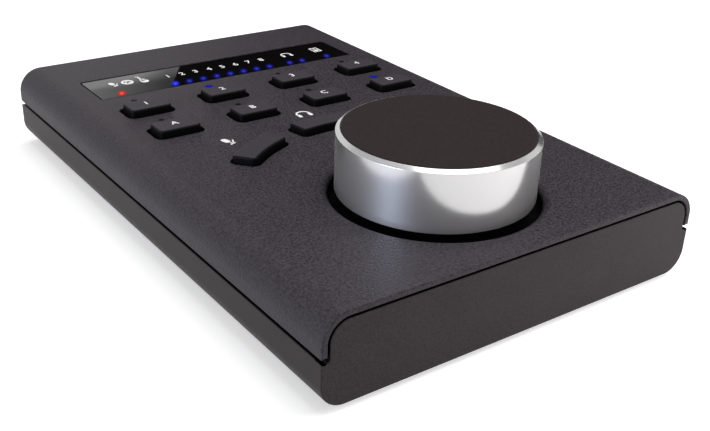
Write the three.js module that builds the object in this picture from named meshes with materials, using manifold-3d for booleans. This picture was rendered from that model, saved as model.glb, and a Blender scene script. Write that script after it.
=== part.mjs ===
// An audio interface remote control: a desk unit with a large knob, eleven keys and a window of level lights.
// Millimetres. +X is the user's right, +Y points away from the user and +Z is up.
// The origin is in the middle of the footprint, on the surface that the feet stand on.

import * as THREE from "three";
import { mergeVertices } from "three/addons/utils/BufferGeometryUtils.js";
import Module from "manifold-3d";

const wasm = await Module();
wasm.setup();

// Housing: a bent sheet cover over a tray, with a seam along both sides and round the end panels
const bodyWidth = 104;
const bodyLength = 158.8;
const bodyDepth = 20.9;
const seamHeightShare = 0.541;
const seamGap = 0.7;
const panelGap = 0.5;
const coverSheet = 1.4;
const coverBendRadius = 6.4;
const trayEdgeRadius = 5.6;
const trayFloor = 1.6;
const trayLip = 1;
const trayLipRise = 2;
const endPanel = 2.4;
const edgeRounding = 0.3;
const reliefRadius = 0.85;

// Feet, and the screws and pillars that hold the two halves together
const footHeight = 1.2;
const footRadius = 6;
const footChamfer = 0.4;
const footInset = 14;
const footEndInset = 18;
const pillarRadius = 3;
const pillarInset = 9;
const pillarEndInset = 8;
const baseScrewRadius = 1.5;
const baseScrewLength = 9;
const baseScrewHeadRadius = 2.75;
const baseScrewHeadDepth = 1.2;
const baseScrewRecess = 0.1;
const screwSocketRadius = 0.9;
const screwSocketDepth = 0.8;
const threadClearance = 0.08;
const holeClearance = 0.15;

// Where things lie between the curved keys' outer arc and the rear edge, as shares of that length
const panelShares = {
  frontKeyRowShare: 0.1724,
  rearKeyRowShare: 0.3854,
  keyLengthShare: 0.0846,
  pinBehindKeyShare: 0.108,
  lensFrontShare: 0.557,
  lensLengthShare: 0.1977,
};

// Window of level lights
const lensMargin = 11.4;
const lensCornerRadius = 0.5;
const lensRecess = 0.15;
const lensGap = 0.25;
const lensFlangeLip = 1.2;
const lensFlangeThickness = 0.9;
const lightsFromLensFront = 2.2;
const levelLightCount = 8;
const inputLightCount = 3;

// Where the lights are, as shares of the window's width from its middle
const lightShares = {
  pitchShare: 0.0548,
  firstInputShare: -0.4212,
  levelsCentreShare: -0.029,
  phonesCentreShare: 0.2783,
  speakersShare: 0.4175,
};

// Straight keys, in two rows of four
const keyWidth = 11.4;
const keyCornerRadius = 1;
const keyHeight = 1.8;
const keyEdgeWidth = 0.65;
const keyEdgeDrop = 0.6;
const keyInsetFromLens = 0.7;
const keyBankOffset = 0.4;
const keysPerRow = 4;
const keyGap = 1.05;
const keyFlangeLip = 1.5;
const keyFlangeThickness = 1.2;
const keyTravel = 0.8;
const keyStemRadius = 1.4;

// Curved keys, round the back of the knob
const arcKeyFromKnob = 19.85;
const arcKeyDepth = 6.05;
const arcKeySpanAngle = THREE.MathUtils.degToRad(21.2);
const arcKeyStepAngle = THREE.MathUtils.degToRad(30);
const arcStemStepAngle = THREE.MathUtils.degToRad(10);

// Small light beside each straight key
const pinRadius = 0.7;
const pinGap = 0.08;
const pinRecess = 0.15;
const guideWidth = 3;
const guideThickness = 1.2;
const guideLegRadius = 1.2;

// Rubber keypad mat on the board, with a dome round each key's stem
const matThickness = 1;
const domeFootRadius = 4;
const domeTopRadius = 2.8;
const domeWall = 0.8;
const stemClearance = 0.4;

// Boards
const boardThickness = 1.6;
const boardPillarGap = 0.5;
const boardDrop = 5.7;
const boardEndGap = 1.5;
const standoffRadius = 2.5;
const standoffEdgeInset = 3;
const boardRestRadius = 2.5;
const boardRestFrontInset = 4;
const boardScrewRadius = 1.25;
const boardScrewLength = 5;
const boardScrewHeadRadius = 2.4;
const boardScrewHeadHeight = 1.6;
const chipWidth = 1.6;
const chipLength = 1;
const chipHeight = 0.7;
const processorSize = 10;
const processorHeight = 1.2;
const processorFromMiddle = 14;
const stripGuideWidth = 4;
const stripGuideEnd = 2.4;
const encoderBoardLength = 30;

// Flat cable between the boards
const connectorWidth = 12;
const connectorLength = 3;
const connectorHeight = 1.6;
const connectorInset = 1;
const ribbonWidth = 10;
const ribbonThickness = 0.4;
const ribbonFromMiddle = 11;

// Knob and the well that it turns in
const wellFromFrontPanel = 1.8;
const knobRadius = 23;
const knobHeight = 14.45;
const knobLift = 0.35;
const knobWall = 2.4;
const knobTopPlate = 2.2;
const knobChamferWidth = 1;
const knobChamferHeight = 0.72;
const knobRimLand = 0.2;
const knobFootRounding = 0.25;
const padRecess = 1.2;
const padProud = 0.2;
const padRounding = 0.35;
const padGap = 0.06;
const wellGap = 2.2;
const knobHoleLip = 0.95;
const knobHoleRounding = 2.2;
const wellDepth = 4.5;
const wellWall = 1.2;
const wellFloor = 1.4;
const wellFlangeWidth = 2.6;
const wellFlangeThickness = 1.2;
const wellEarRadius = 3.2;
const studRadius = 1.5;
const studLength = 4.2;
const studNutWidth = 5.5;
const studNutHeight = 2;
const studCount = 4;

// Rotary encoder with a push switch under its shaft
const encoderSize = 16;
const encoderHeight = 6.6;
const encoderRoof = 1.6;
const encoderCavityRadius = 6.6;
const bushingRadius = 4.5;
const bushingProud = 0.6;
const washerRadius = 7;
const washerThickness = 0.6;
const encoderNutWidth = 12;
const encoderNutHeight = 2;
const shaftRadius = 3;
const shaftFlatDepth = 0.5;
const turnClearance = 0.06;
const pressTravel = 0.5;
const runGap = 0.3;
const pushSwitchSize = 7;
const pushSwitchHeight = 1.4;
const plungerRadius = 2.4;
const plungerThickness = 0.6;
const plungerStemRadius = 1;
const wheelRadius = 5.8;
const wheelThickness = 0.8;
const wheelLift = 0.2;
const wheelSlotDepth = 1.2;
const wheelSlotCount = 20;
const hubRadius = 7;
const hubFlangeThickness = 2;
const hubRibThickness = 1.4;
const hubRibDrop = 6;
const hubRibCount = 6;
const grubRadius = 1.5;
const grubLift = 4;

// USB socket in the rear panel
const usbWidth = 8.94;
const usbHeight = 3.2;
const usbLength = 7.4;
const usbWall = 0.3;
const usbCornerRadius = 1.5;
const usbRecess = 0.3;
const usbPanelGap = 0.35;
const usbTongueWidth = 6.6;
const usbTongueHeight = 0.7;
const usbTongueInset = 1.4;

// How far a cutting shape passes the face that it cuts, and how near two points count as one
const overrun = 0.5;
const weldDistance = 0.0001;

// Numbers of facets
const smallFacets = 8;
const mediumFacets = 20;
const largeFacets = 48;
const cornerFacets = 2;
const bendFacets = 6;
const arcFacets = 6;

// Heights
const trayBottomZ = footHeight;
const floorTopZ = trayBottomZ + trayFloor;
const seamZ = trayBottomZ + bodyDepth * seamHeightShare;
const trayTopZ = seamZ - seamGap / 2;
const coverBottomZ = seamZ + seamGap / 2;
const coverTopZ = trayBottomZ + bodyDepth;
const coverUnderZ = coverTopZ - coverSheet;
const keyFlangeTopZ = coverUnderZ - runGap;
const keyFlangeBottomZ = keyFlangeTopZ - keyFlangeThickness;
const boardTopZ = coverUnderZ - boardDrop;
const boardBottomZ = boardTopZ - boardThickness;
const domeTopZ = keyFlangeBottomZ - keyTravel - runGap;
const wellFloorTopZ = coverTopZ - wellDepth;
const wellFloorBottomZ = wellFloorTopZ - wellFloor;
const encoderBoardTopZ = wellFloorBottomZ - encoderHeight;
const encoderBoardBottomZ = encoderBoardTopZ - boardThickness;
const bushingTopZ = wellFloorTopZ + washerThickness + encoderNutHeight + bushingProud;
const knobBottomZ = coverTopZ + knobLift;
const knobTopZ = knobBottomZ + knobHeight;
const knobPlateZ = knobTopZ - padRecess - knobTopPlate;
const hubBottomZ = bushingTopZ + pressTravel + runGap;
const pushSwitchTopZ = encoderBoardTopZ + pushSwitchHeight;
const plungerBottomZ = pushSwitchTopZ + pressTravel + runGap;
const plungerTopZ = plungerBottomZ + plungerThickness;
const shaftBottomZ = plungerTopZ + runGap;

// Distances from the axis of the knob
const recessRadius = knobRadius - knobChamferWidth - knobRimLand;
const knobInnerRadius = knobRadius - knobWall;
const wellRadius = knobRadius + wellGap;
const studCircleRadius = wellRadius + wellWall + runGap + studNutWidth / Math.sqrt(3);
const arcKeyInnerRadius = knobRadius + arcKeyFromKnob;
const arcKeyOuterRadius = arcKeyInnerRadius + arcKeyDepth;

// Places along the length
const frontY = -bodyLength / 2;
const rearY = bodyLength / 2;
const knobY = frontY + endPanel + wellFromFrontPanel + wellFlangeWidth + wellRadius;
const arcKeyRearY = knobY + arcKeyOuterRadius;
const panelLength = rearY - arcKeyRearY;
const lensLength = panelLength * panelShares.lensLengthShare;
const lensFrontY = arcKeyRearY + panelLength * panelShares.lensFrontShare;
const lensY = lensFrontY + lensLength / 2;
const lightsY = lensFrontY + lightsFromLensFront;
const keyLength = panelLength * panelShares.keyLengthShare;
const rearKeyRowY = arcKeyRearY + panelLength * panelShares.rearKeyRowShare;
const frontKeyRowY = arcKeyRearY + panelLength * panelShares.frontKeyRowShare;
const keyRowYs = [rearKeyRowY, frontKeyRowY];
const pinRows = keyRowYs.map((y) => y + panelLength * panelShares.pinBehindKeyShare);
const boardFrontY = knobY + wellRadius + wellFlangeWidth + boardEndGap;
const boardRearY = rearY - endPanel - boardEndGap;
const boardMiddleY = (boardFrontY + boardRearY) / 2;
const encoderBoardRearY = knobY + encoderBoardLength / 2;
const standoffFrontY = (arcKeyRearY + frontKeyRowY - keyLength / 2 - keyFlangeLip) / 2;
const standoffRearY = boardRearY - standoffEdgeInset;

// Widths
const lensWidth = bodyWidth - 2 * lensMargin;
const lightPitch = lensWidth * lightShares.pitchShare;
const keyPitch = (lensWidth - keyWidth - 2 * keyInsetFromLens) / (keysPerRow - 1);
const boardWidth = bodyWidth - 2 * (pillarInset + pillarRadius + boardPillarGap);
const encoderBoardWidth = 2 * ribbonFromMiddle + connectorWidth;

// Joining and cutting of closed geometries

function toSolid(geometry) {
  const bare = geometry.clone();
  bare.deleteAttribute("normal");
  bare.deleteAttribute("uv");
  const merged = mergeVertices(bare, weldDistance);
  return new wasm.Manifold(
    new wasm.Mesh({
      numProp: 3,
      vertProperties: merged.attributes.position.array,
      triVerts: new Uint32Array(merged.index.array),
    }),
  );
}

function join(first, ...others) {
  return others.reduce((whole, other) => whole.add(other), first);
}

function cut(first, ...others) {
  return others.reduce((whole, other) => whole.subtract(other), first);
}

function toGeometry(solid) {
  const mesh = solid.getMesh();
  const geometry = new THREE.BufferGeometry();
  geometry.setAttribute("position", new THREE.BufferAttribute(mesh.vertProperties, mesh.numProp));
  geometry.setIndex(new THREE.BufferAttribute(mesh.triVerts, 1));
  const faceted = geometry.toNonIndexed();
  faceted.computeVertexNormals();
  return faceted;
}

// Outlines

function roundedRectangle(width, length, radius, centreX = 0, centreY = 0) {
  const right = centreX + width / 2;
  const left = centreX - width / 2;
  const top = centreY + length / 2;
  const bottom = centreY - length / 2;
  const shape = new THREE.Shape();
  shape.moveTo(left + radius, bottom);
  shape.lineTo(right - radius, bottom);
  shape.absarc(right - radius, bottom + radius, radius, -Math.PI / 2, 0, false);
  shape.lineTo(right, top - radius);
  shape.absarc(right - radius, top - radius, radius, 0, Math.PI / 2, false);
  shape.lineTo(left + radius, top);
  shape.absarc(left + radius, top - radius, radius, Math.PI / 2, Math.PI, false);
  shape.lineTo(left, bottom + radius);
  shape.absarc(left + radius, bottom + radius, radius, Math.PI, Math.PI * 1.5, false);
  return shape;
}

// A sector of a ring round the knob with rounded corners; grow widens it evenly on every side.
function arcKeyOutline(middleAngle, grow) {
  const inner = arcKeyInnerRadius - grow;
  const outer = arcKeyOuterRadius + grow;
  const round = keyCornerRadius;
  const half = arcKeySpanAngle / 2;
  const points = [];
  const place = (radius, angle) => {
    points.push(new THREE.Vector2(radius * Math.cos(angle), radius * Math.sin(angle) + knobY));
  };
  // The corner at radius and side is turned from the end face on to the arc.
  const corner = (edge, sign, inwards, reverse) => {
    const centreRadius = edge + inwards * round;
    const endAngle = half + (grow - round) / centreRadius;
    const steps = [...Array(cornerFacets + 1).keys()];
    for (const step of reverse ? steps.reverse() : steps) {
      const turn = ((Math.PI / 2) * step) / cornerFacets;
      const radial = centreRadius - inwards * round * Math.sin(turn);
      const sideways = (round * Math.cos(turn)) / centreRadius;
      place(radial, middleAngle + sign * (endAngle + sideways));
    }
  };
  const arc = (radius, sign, edge, inwards) => {
    const reach = half + (grow - round) / (edge + inwards * round);
    for (let step = 1; step < arcFacets; step += 1) {
      place(radius, middleAngle + sign * reach * (1 - (2 * step) / arcFacets));
    }
  };
  corner(outer, -1, -1, false);
  arc(outer, -1, outer, -1);
  corner(outer, 1, -1, true);
  corner(inner, 1, 1, false);
  arc(inner, 1, inner, 1);
  corner(inner, -1, 1, true);
  return new THREE.Shape(points);
}

function circleOutline(radius, sides, centreX = 0, centreY = 0) {
  const points = [];
  for (let side = 0; side < sides; side += 1) {
    const angle = (2 * Math.PI * side) / sides;
    points.push(new THREE.Vector2(centreX + radius * Math.cos(angle), centreY + radius * Math.sin(angle)));
  }
  return new THREE.Shape(points);
}

// Solids from outlines. A rounding eases the edges of both end faces inwards.

function extrudeUp(shape, fromZ, toZ, edge = { width: 0, drop: 0, steps: 0 }) {
  const geometry = new THREE.ExtrudeGeometry(shape, {
    depth: toZ - fromZ - 2 * edge.drop,
    bevelEnabled: edge.steps > 0,
    bevelSize: edge.width,
    bevelOffset: -edge.width,
    bevelThickness: edge.drop,
    bevelSegments: edge.steps,
    curveSegments: edge.curveSegments ?? cornerFacets,
  });
  geometry.translate(0, 0, fromZ + edge.drop);
  return toSolid(geometry);
}

// The outline is drawn in X and Z and pushed along Y.
function extrudeAlongY(shape, fromY, toY, edge = { width: 0, drop: 0, steps: 0 }) {
  return extrudeUp(shape, -toY, -fromY, edge).rotate([90, 0, 0]);
}

// The outline is drawn in Y and Z and pushed along X.
function extrudeAlongX(shape, fromX, toX) {
  return extrudeUp(shape, fromX, toX).rotate([90, 0, 90]);
}

function box(width, length, fromZ, toZ, centreX = 0, centreY = 0) {
  const geometry = new THREE.BoxGeometry(width, length, toZ - fromZ);
  geometry.translate(centreX, centreY, (fromZ + toZ) / 2);
  return toSolid(geometry);
}

function cylinder(radius, fromZ, toZ, centreX, centreY, sides = smallFacets, topRadius = radius) {
  const geometry = new THREE.CylinderGeometry(topRadius, radius, toZ - fromZ, sides);
  geometry.rotateX(Math.PI / 2);
  geometry.translate(centreX, centreY, (fromZ + toZ) / 2);
  return toSolid(geometry);
}

// The profile holds pairs of radius and height, in order round the section, outer side going up.
function turn(profile, centreX, centreY, sides) {
  const closed = profile[0][0] > 0 ? [...profile, profile[0]] : profile;
  const points = closed.map(([radius, height]) => new THREE.Vector2(radius, height));
  const geometry = new THREE.LatheGeometry(points, sides);
  geometry.rotateX(Math.PI / 2);
  geometry.translate(centreX, centreY, 0);
  return toSolid(geometry);
}

function tube(outerRadius, innerRadius, fromZ, toZ, centreX, centreY, sides = smallFacets) {
  const inner = innerRadius;
  const profile = [
    [inner, fromZ],
    [outerRadius, fromZ],
    [outerRadius, toZ],
    [inner, toZ],
  ];
  return turn(profile, centreX, centreY, sides);
}

// The points of a quarter round in a profile, from startAngle on, as pairs of radius and height.
function quarterRound(centreRadius, centreHeight, radius, startAngle, steps) {
  const points = [];
  for (let step = 0; step <= steps; step += 1) {
    const angle = startAngle + ((Math.PI / 2) * step) / steps;
    points.push([centreRadius + radius * Math.cos(angle), centreHeight + radius * Math.sin(angle)]);
  }
  return points;
}

function hexagonalNut(acrossFlats, boreRadius, fromZ, toZ, centreX, centreY) {
  const cornerRadius = acrossFlats / Math.sqrt(3);
  const body = cylinder(cornerRadius, fromZ, toZ, centreX, centreY, 6);
  const bore = cylinder(boreRadius, fromZ - overrun, toZ + overrun, centreX, centreY);
  return cut(body, bore);
}

// Places that repeat

const sideSigns = [-1, 1];
const keyXs = [...Array(keysPerRow).keys()].map(
  (column) => keyBankOffset + keyPitch * (column - (keysPerRow - 1) / 2),
);
const arcKeyAngles = [1, 0, -1].map((place) => Math.PI / 2 + place * arcKeyStepAngle);
const pillarPlaces = cornersOf(bodyWidth / 2 - pillarInset, -rearY + pillarEndInset, rearY - pillarEndInset);
const footPlaces = cornersOf(bodyWidth / 2 - footInset, -rearY + footEndInset, rearY - footEndInset);
const standoffPlaces = cornersOf(boardWidth / 2 - standoffEdgeInset, standoffFrontY, standoffRearY);
const boardRestPlaces = sideSigns.map((sign) => [
  sign * (boardWidth / 2 - standoffEdgeInset),
  boardFrontY + boardRestFrontInset,
]);
const studAngles = [...Array(studCount).keys()].map((n) => (2 * Math.PI * (n + 0.5)) / studCount);
const studPlaces = studAngles.map((angle) => [
  studCircleRadius * Math.cos(angle),
  knobY + studCircleRadius * Math.sin(angle),
]);

function cornersOf(x, frontPlaceY, rearPlaceY) {
  return [
    [-x, frontPlaceY],
    [x, frontPlaceY],
    [-x, rearPlaceY],
    [x, rearPlaceY],
  ];
}

// Where the lights under the window are: inputs, levels, headphones and speakers, from left to right.
function lightXs() {
  const at = (share) => lensWidth * share;
  const inputs = [...Array(inputLightCount).keys()].map(
    (n) => at(lightShares.firstInputShare) + n * lightPitch,
  );
  const levels = [...Array(levelLightCount).keys()].map(
    (n) => at(lightShares.levelsCentreShare) + lightPitch * (n - (levelLightCount - 1) / 2),
  );
  const phones = sideSigns.map((sign) => at(lightShares.phonesCentreShare) + (sign * lightPitch) / 2);
  return [...inputs, ...levels, ...phones, at(lightShares.speakersShare)];
}

// The stems under each key, as places on the board.
function stemPlaces() {
  const straight = keyRowYs.flatMap((y) => keyXs.map((x) => [x, y]));
  const radius = (arcKeyInnerRadius + arcKeyOuterRadius) / 2;
  const curved = arcKeyAngles.flatMap((angle) => arcStemPlaces(angle, radius));
  return [...straight, ...curved];
}

function arcStemPlaces(angle, radius) {
  return sideSigns.map((sign) => {
    const stemAngle = angle - (sign * arcStemStepAngle) / 2;
    return [radius * Math.cos(stemAngle), knobY + radius * Math.sin(stemAngle)];
  });
}

// Housing

function coverSection() {
  const side = bodyWidth / 2;
  const bend = side - coverBendRadius;
  const bendZ = coverTopZ - coverBendRadius;
  const innerBend = coverBendRadius - coverSheet;
  const shape = new THREE.Shape();
  shape.moveTo(-side, coverBottomZ);
  shape.lineTo(-side, bendZ);
  shape.absarc(-bend, bendZ, coverBendRadius, Math.PI, Math.PI / 2, true);
  shape.lineTo(bend, coverTopZ);
  shape.absarc(bend, bendZ, coverBendRadius, Math.PI / 2, 0, true);
  shape.lineTo(side, coverBottomZ);
  shape.lineTo(side - coverSheet, coverBottomZ);
  shape.lineTo(side - coverSheet, bendZ);
  shape.absarc(bend, bendZ, innerBend, 0, Math.PI / 2, false);
  shape.lineTo(-bend, coverUnderZ);
  shape.absarc(-bend, bendZ, innerBend, Math.PI / 2, Math.PI, false);
  shape.lineTo(-side + coverSheet, coverBottomZ);
  return shape;
}

const sheetEdge = {
  width: edgeRounding,
  drop: edgeRounding,
  steps: 1,
  curveSegments: bendFacets,
};

// The small round holes that end the side seams, at all four corners, through the end panels' thickness.
function seamReliefs() {
  const x = bodyWidth / 2 - coverSheet / 2;
  const reach = endPanel + overrun;
  return sideSigns.flatMap((sideSign) =>
    sideSigns.map((endSign) => {
      const geometry = new THREE.CylinderGeometry(reliefRadius, reliefRadius, reach, mediumFacets);
      geometry.translate(sideSign * x, endSign * (rearY + overrun - reach / 2), seamZ);
      return toSolid(geometry);
    }),
  );
}

// The sheet rolls in round the knob and hides the rim of the dish below it.
function knobHole() {
  const wall = wellRadius - knobHoleLip;
  const round = knobHoleRounding;
  const profile = [
    [0, coverTopZ - round - overrun],
    [wall, coverTopZ - round - overrun],
    ...quarterRound(wall + round, coverTopZ - round, round, Math.PI / 2, 3).reverse(),
    [wall + round, coverTopZ + overrun],
    [0, coverTopZ + overrun],
  ];
  return turn(profile, 0, knobY, largeFacets);
}

function topCover() {
  const fromZ = coverUnderZ - overrun;
  const toZ = coverTopZ + overrun;
  const sheet = extrudeAlongY(coverSection(), frontY, rearY, sheetEdge);
  const windowShape = roundedRectangle(
    lensWidth + 2 * lensGap,
    lensLength + 2 * lensGap,
    lensCornerRadius + lensGap,
    0,
    lensY,
  );
  const windowHole = extrudeUp(windowShape, fromZ, toZ);
  const keyHoles = keyRowYs.flatMap((y) =>
    keyXs.map((x) => {
      const width = keyWidth + 2 * keyGap;
      const length = keyLength + 2 * keyGap;
      return extrudeUp(roundedRectangle(width, length, keyCornerRadius + keyGap, x, y), fromZ, toZ);
    }),
  );
  const arcHoles = arcKeyAngles.map((angle) => extrudeUp(arcKeyOutline(angle, keyGap), fromZ, toZ));
  const pinHoles = pinRows.flatMap((y) => keyXs.map((x) => cylinder(pinRadius + pinGap, fromZ, toZ, x, y)));
  const studEndZ = coverUnderZ - studLength;
  const studs = studPlaces.map(([x, y]) => cylinder(studRadius, studEndZ, coverUnderZ + overrun, x, y));
  const holes = [windowHole, ...keyHoles, ...arcHoles, ...pinHoles, knobHole()];
  return cut(join(sheet, ...studs), ...holes, ...seamReliefs());
}

// The tray's outline from the front, below the seam: straight sides and rounded long edges.
function trayOutline(inset, bottomZ, topZ) {
  const side = bodyWidth / 2 - inset;
  const radius = trayEdgeRadius - inset;
  const shape = new THREE.Shape();
  shape.moveTo(side, topZ);
  shape.lineTo(-side, topZ);
  shape.absarc(-side + radius, bottomZ + radius, radius, Math.PI, Math.PI * 1.5, false);
  shape.absarc(side - radius, bottomZ + radius, radius, -Math.PI / 2, 0, false);
  return shape;
}

// The end panels' upper part, which fits inside the cover.
function upperPanelOutline() {
  const side = bodyWidth / 2 - coverSheet - panelGap;
  const topZ = coverUnderZ - panelGap;
  const radius = coverBendRadius - coverSheet - panelGap;
  const lowZ = (trayBottomZ + trayTopZ) / 2;
  const shape = new THREE.Shape();
  shape.moveTo(-side, lowZ);
  shape.lineTo(side, lowZ);
  shape.absarc(side - radius, topZ - radius, radius, 0, Math.PI / 2, false);
  shape.absarc(-side + radius, topZ - radius, radius, Math.PI / 2, Math.PI, false);
  return shape;
}

// Along the sides, a lip stands inside the cover and closes the seam to light.
// Two posts steady the front of the main board.
function baseTray() {
  const lower = extrudeAlongY(trayOutline(0, trayBottomZ, trayTopZ), frontY, rearY, sheetEdge);
  const upper = extrudeAlongY(upperPanelOutline(), frontY, rearY, sheetEdge);
  const wall = coverSheet + panelGap + trayLip;
  const cavityShape = trayOutline(wall, floorTopZ, coverTopZ + overrun);
  const cavityEdge = { ...sheetEdge, drop: 0, steps: 0 };
  const cavity = extrudeAlongY(cavityShape, frontY + endPanel, rearY - endPanel, cavityEdge);
  const aboveLip = box(bodyWidth, bodyLength - 2 * endPanel, seamZ + trayLipRise, coverTopZ + overrun);
  const screwHoles = pillarPlaces.flatMap(([x, y]) => [
    cylinder(baseScrewRadius + holeClearance, trayBottomZ - overrun, floorTopZ + overrun, x, y),
    screwHeadCone(x, y, holeClearance, overrun),
  ]);
  const shell = cut(join(lower, upper), cavity, aboveLip);
  const rests = boardRestPlaces.map(([x, y]) =>
    cylinder(boardRestRadius, floorTopZ - trayFloor / 2, boardBottomZ, x, y),
  );
  return cut(join(shell, ...rests), ...screwHoles, usbPanelHole(), ...seamReliefs());
}

// The countersunk head of a base screw, or the hole for it when grown by a clearance and run on below.
function screwHeadCone(x, y, clearance, runOn) {
  const bottomZ = trayBottomZ + (runOn > 0 ? 0 : baseScrewRecess);
  const topZ = trayBottomZ + baseScrewRecess + baseScrewHeadDepth + clearance;
  const slope = (baseScrewHeadRadius - baseScrewRadius) / baseScrewHeadDepth;
  const topRadius = baseScrewRadius + clearance;
  const bottomRadius = topRadius + slope * (topZ - bottomZ + runOn);
  return cylinder(bottomRadius, bottomZ - runOn, topZ, x, y, mediumFacets, topRadius);
}

function baseScrew([x, y]) {
  const head = screwHeadCone(x, y, 0, 0);
  const headBottomZ = trayBottomZ + baseScrewRecess;
  const shank = cylinder(baseScrewRadius, headBottomZ, headBottomZ + baseScrewLength, x, y);
  const socket = cylinder(screwSocketRadius, headBottomZ - overrun, headBottomZ + screwSocketDepth, x, y, 6);
  return cut(join(head, shank), socket);
}

function pillar([x, y]) {
  return tube(pillarRadius, baseScrewRadius + threadClearance, floorTopZ, coverUnderZ, x, y);
}

function foot([x, y]) {
  const profile = [
    [0, 0],
    [footRadius - footChamfer, 0],
    [footRadius, footChamfer],
    [footRadius, footHeight],
    [0, footHeight],
  ];
  return turn(profile, x, y, mediumFacets);
}

// Window of level lights

function displayLens() {
  const plateShape = roundedRectangle(lensWidth, lensLength, lensCornerRadius, 0, lensY);
  const plate = extrudeUp(plateShape, keyFlangeTopZ, coverTopZ - lensRecess);
  const flangeShape = roundedRectangle(
    lensWidth + 2 * lensFlangeLip,
    lensLength + 2 * lensFlangeLip,
    lensFlangeLip,
    0,
    lensY,
  );
  return join(plate, extrudeUp(flangeShape, keyFlangeTopZ - lensFlangeThickness, keyFlangeTopZ));
}

// A clear bar over the lights, standing on the board by its two ends, with a pocket over each light.
function stripLightGuide() {
  const xs = lightXs();
  const left = xs[0] - lightPitch / 2 - stripGuideEnd;
  const right = xs.at(-1) + lightPitch / 2 + stripGuideEnd;
  const topZ = keyFlangeTopZ - lensFlangeThickness - runGap;
  const middle = (left + right) / 2;
  const bar = box(right - left, stripGuideWidth, boardTopZ, topZ, middle, lightsY);
  const underZ = boardTopZ + chipHeight + runGap;
  const inside = right - left - 2 * stripGuideEnd;
  const underCut = box(inside, stripGuideWidth + 2 * overrun, boardTopZ - overrun, underZ, middle, lightsY);
  const pocketTopZ = underZ + chipHeight;
  const pockets = xs.map((x) => box(chipWidth, chipLength, underZ - overrun, pocketTopZ, x, lightsY));
  return cut(bar, underCut, ...pockets);
}

// Keys

const keyEdge = { width: keyEdgeWidth, drop: keyEdgeDrop, steps: 2 };

function keyStem(x, y) {
  const endZ = boardTopZ + keyTravel + runGap;
  return cylinder(keyStemRadius, endZ, keyFlangeTopZ, x, y);
}

// The cap's lower end is cut off square, so only its top edge is rounded.
function keyCap(shape) {
  const topZ = coverTopZ + keyHeight;
  return extrudeUp(shape, keyFlangeBottomZ - keyEdgeDrop, topZ, keyEdge).trimByPlane([0, 0, 1], keyFlangeBottomZ);
}

function straightKey(x, y) {
  const cap = keyCap(roundedRectangle(keyWidth, keyLength, keyCornerRadius, x, y));
  const flangeShape = roundedRectangle(
    keyWidth + 2 * keyFlangeLip,
    keyLength + 2 * keyFlangeLip,
    keyCornerRadius + keyFlangeLip,
    x,
    y,
  );
  const flange = extrudeUp(flangeShape, keyFlangeBottomZ, keyFlangeTopZ);
  return join(cap, flange, keyStem(x, y));
}

function arcKey(angle) {
  const cap = keyCap(arcKeyOutline(angle, 0));
  const flange = extrudeUp(arcKeyOutline(angle, keyFlangeLip), keyFlangeBottomZ, keyFlangeTopZ);
  const radius = (arcKeyInnerRadius + arcKeyOuterRadius) / 2;
  const stems = arcStemPlaces(angle, radius).map(([x, y]) => keyStem(x, y));
  return join(cap, flange, ...stems);
}

// The mat lies on the board. Each key's stem passes down the middle of a dome.
function keypadMat() {
  const rearEdgeY = pinRows[0] + guideWidth;
  const frontEdgeY = boardFrontY + boardEndGap;
  const middleY = (rearEdgeY + frontEdgeY) / 2;
  const sheetTopZ = boardTopZ + matThickness;
  const sheet = box(boardWidth, rearEdgeY - frontEdgeY, boardTopZ, sheetTopZ, 0, middleY);
  const domes = stemPlaces().map(([x, y]) =>
    cylinder(domeFootRadius, sheetTopZ - matThickness / 2, domeTopZ, x, y, smallFacets, domeTopRadius),
  );
  const hollows = stemPlaces().map(([x, y]) => {
    const lowRadius = domeFootRadius - domeWall;
    const topRadius = keyStemRadius + stemClearance;
    return cylinder(lowRadius, boardTopZ - overrun, domeTopZ + overrun, x, y, smallFacets, topRadius);
  });
  const legHoles = guideLegPlaces().map(([x, y]) =>
    cylinder(guideLegRadius + holeClearance, boardTopZ - overrun, sheetTopZ + overrun, x, y),
  );
  const chipHoles = pinRows.flatMap((y) =>
    keyXs.map((x) => {
      const width = chipWidth + 2 * stemClearance;
      const length = chipLength + 2 * stemClearance;
      return box(width, length, boardTopZ - overrun, sheetTopZ + overrun, x, y);
    }),
  );
  const standoffHoles = standoffPlaces.map(([x, y]) =>
    cylinder(standoffRadius + stemClearance, boardTopZ - overrun, sheetTopZ + overrun, x, y),
  );
  return cut(join(sheet, ...domes), ...hollows, ...legHoles, ...chipHoles, ...standoffHoles);
}

// Lights beside the keys: one clear bar for each row, with a pin up through the cover over each light.

function guideLegPlaces() {
  return pinRows.flatMap((y) => sideSigns.map((sign) => [sign * keyPitch, y]));
}

function keyLightGuide(rowY) {
  const topZ = keyFlangeTopZ;
  const bottomZ = topZ - guideThickness;
  const width = keyXs.at(-1) - keyXs[0] + guideWidth;
  const bar = box(width, guideWidth, bottomZ, topZ, keyBankOffset, rowY);
  const pinBottomZ = boardTopZ + chipHeight + runGap;
  const pins = keyXs.map((x) => cylinder(pinRadius, pinBottomZ, coverTopZ - pinRecess, x, rowY));
  const legs = guideLegPlaces()
    .filter(([, y]) => y === rowY)
    .map(([x, y]) => cylinder(guideLegRadius, boardTopZ, topZ, x, y));
  return join(bar, ...pins, ...legs);
}

// Boards

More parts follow.
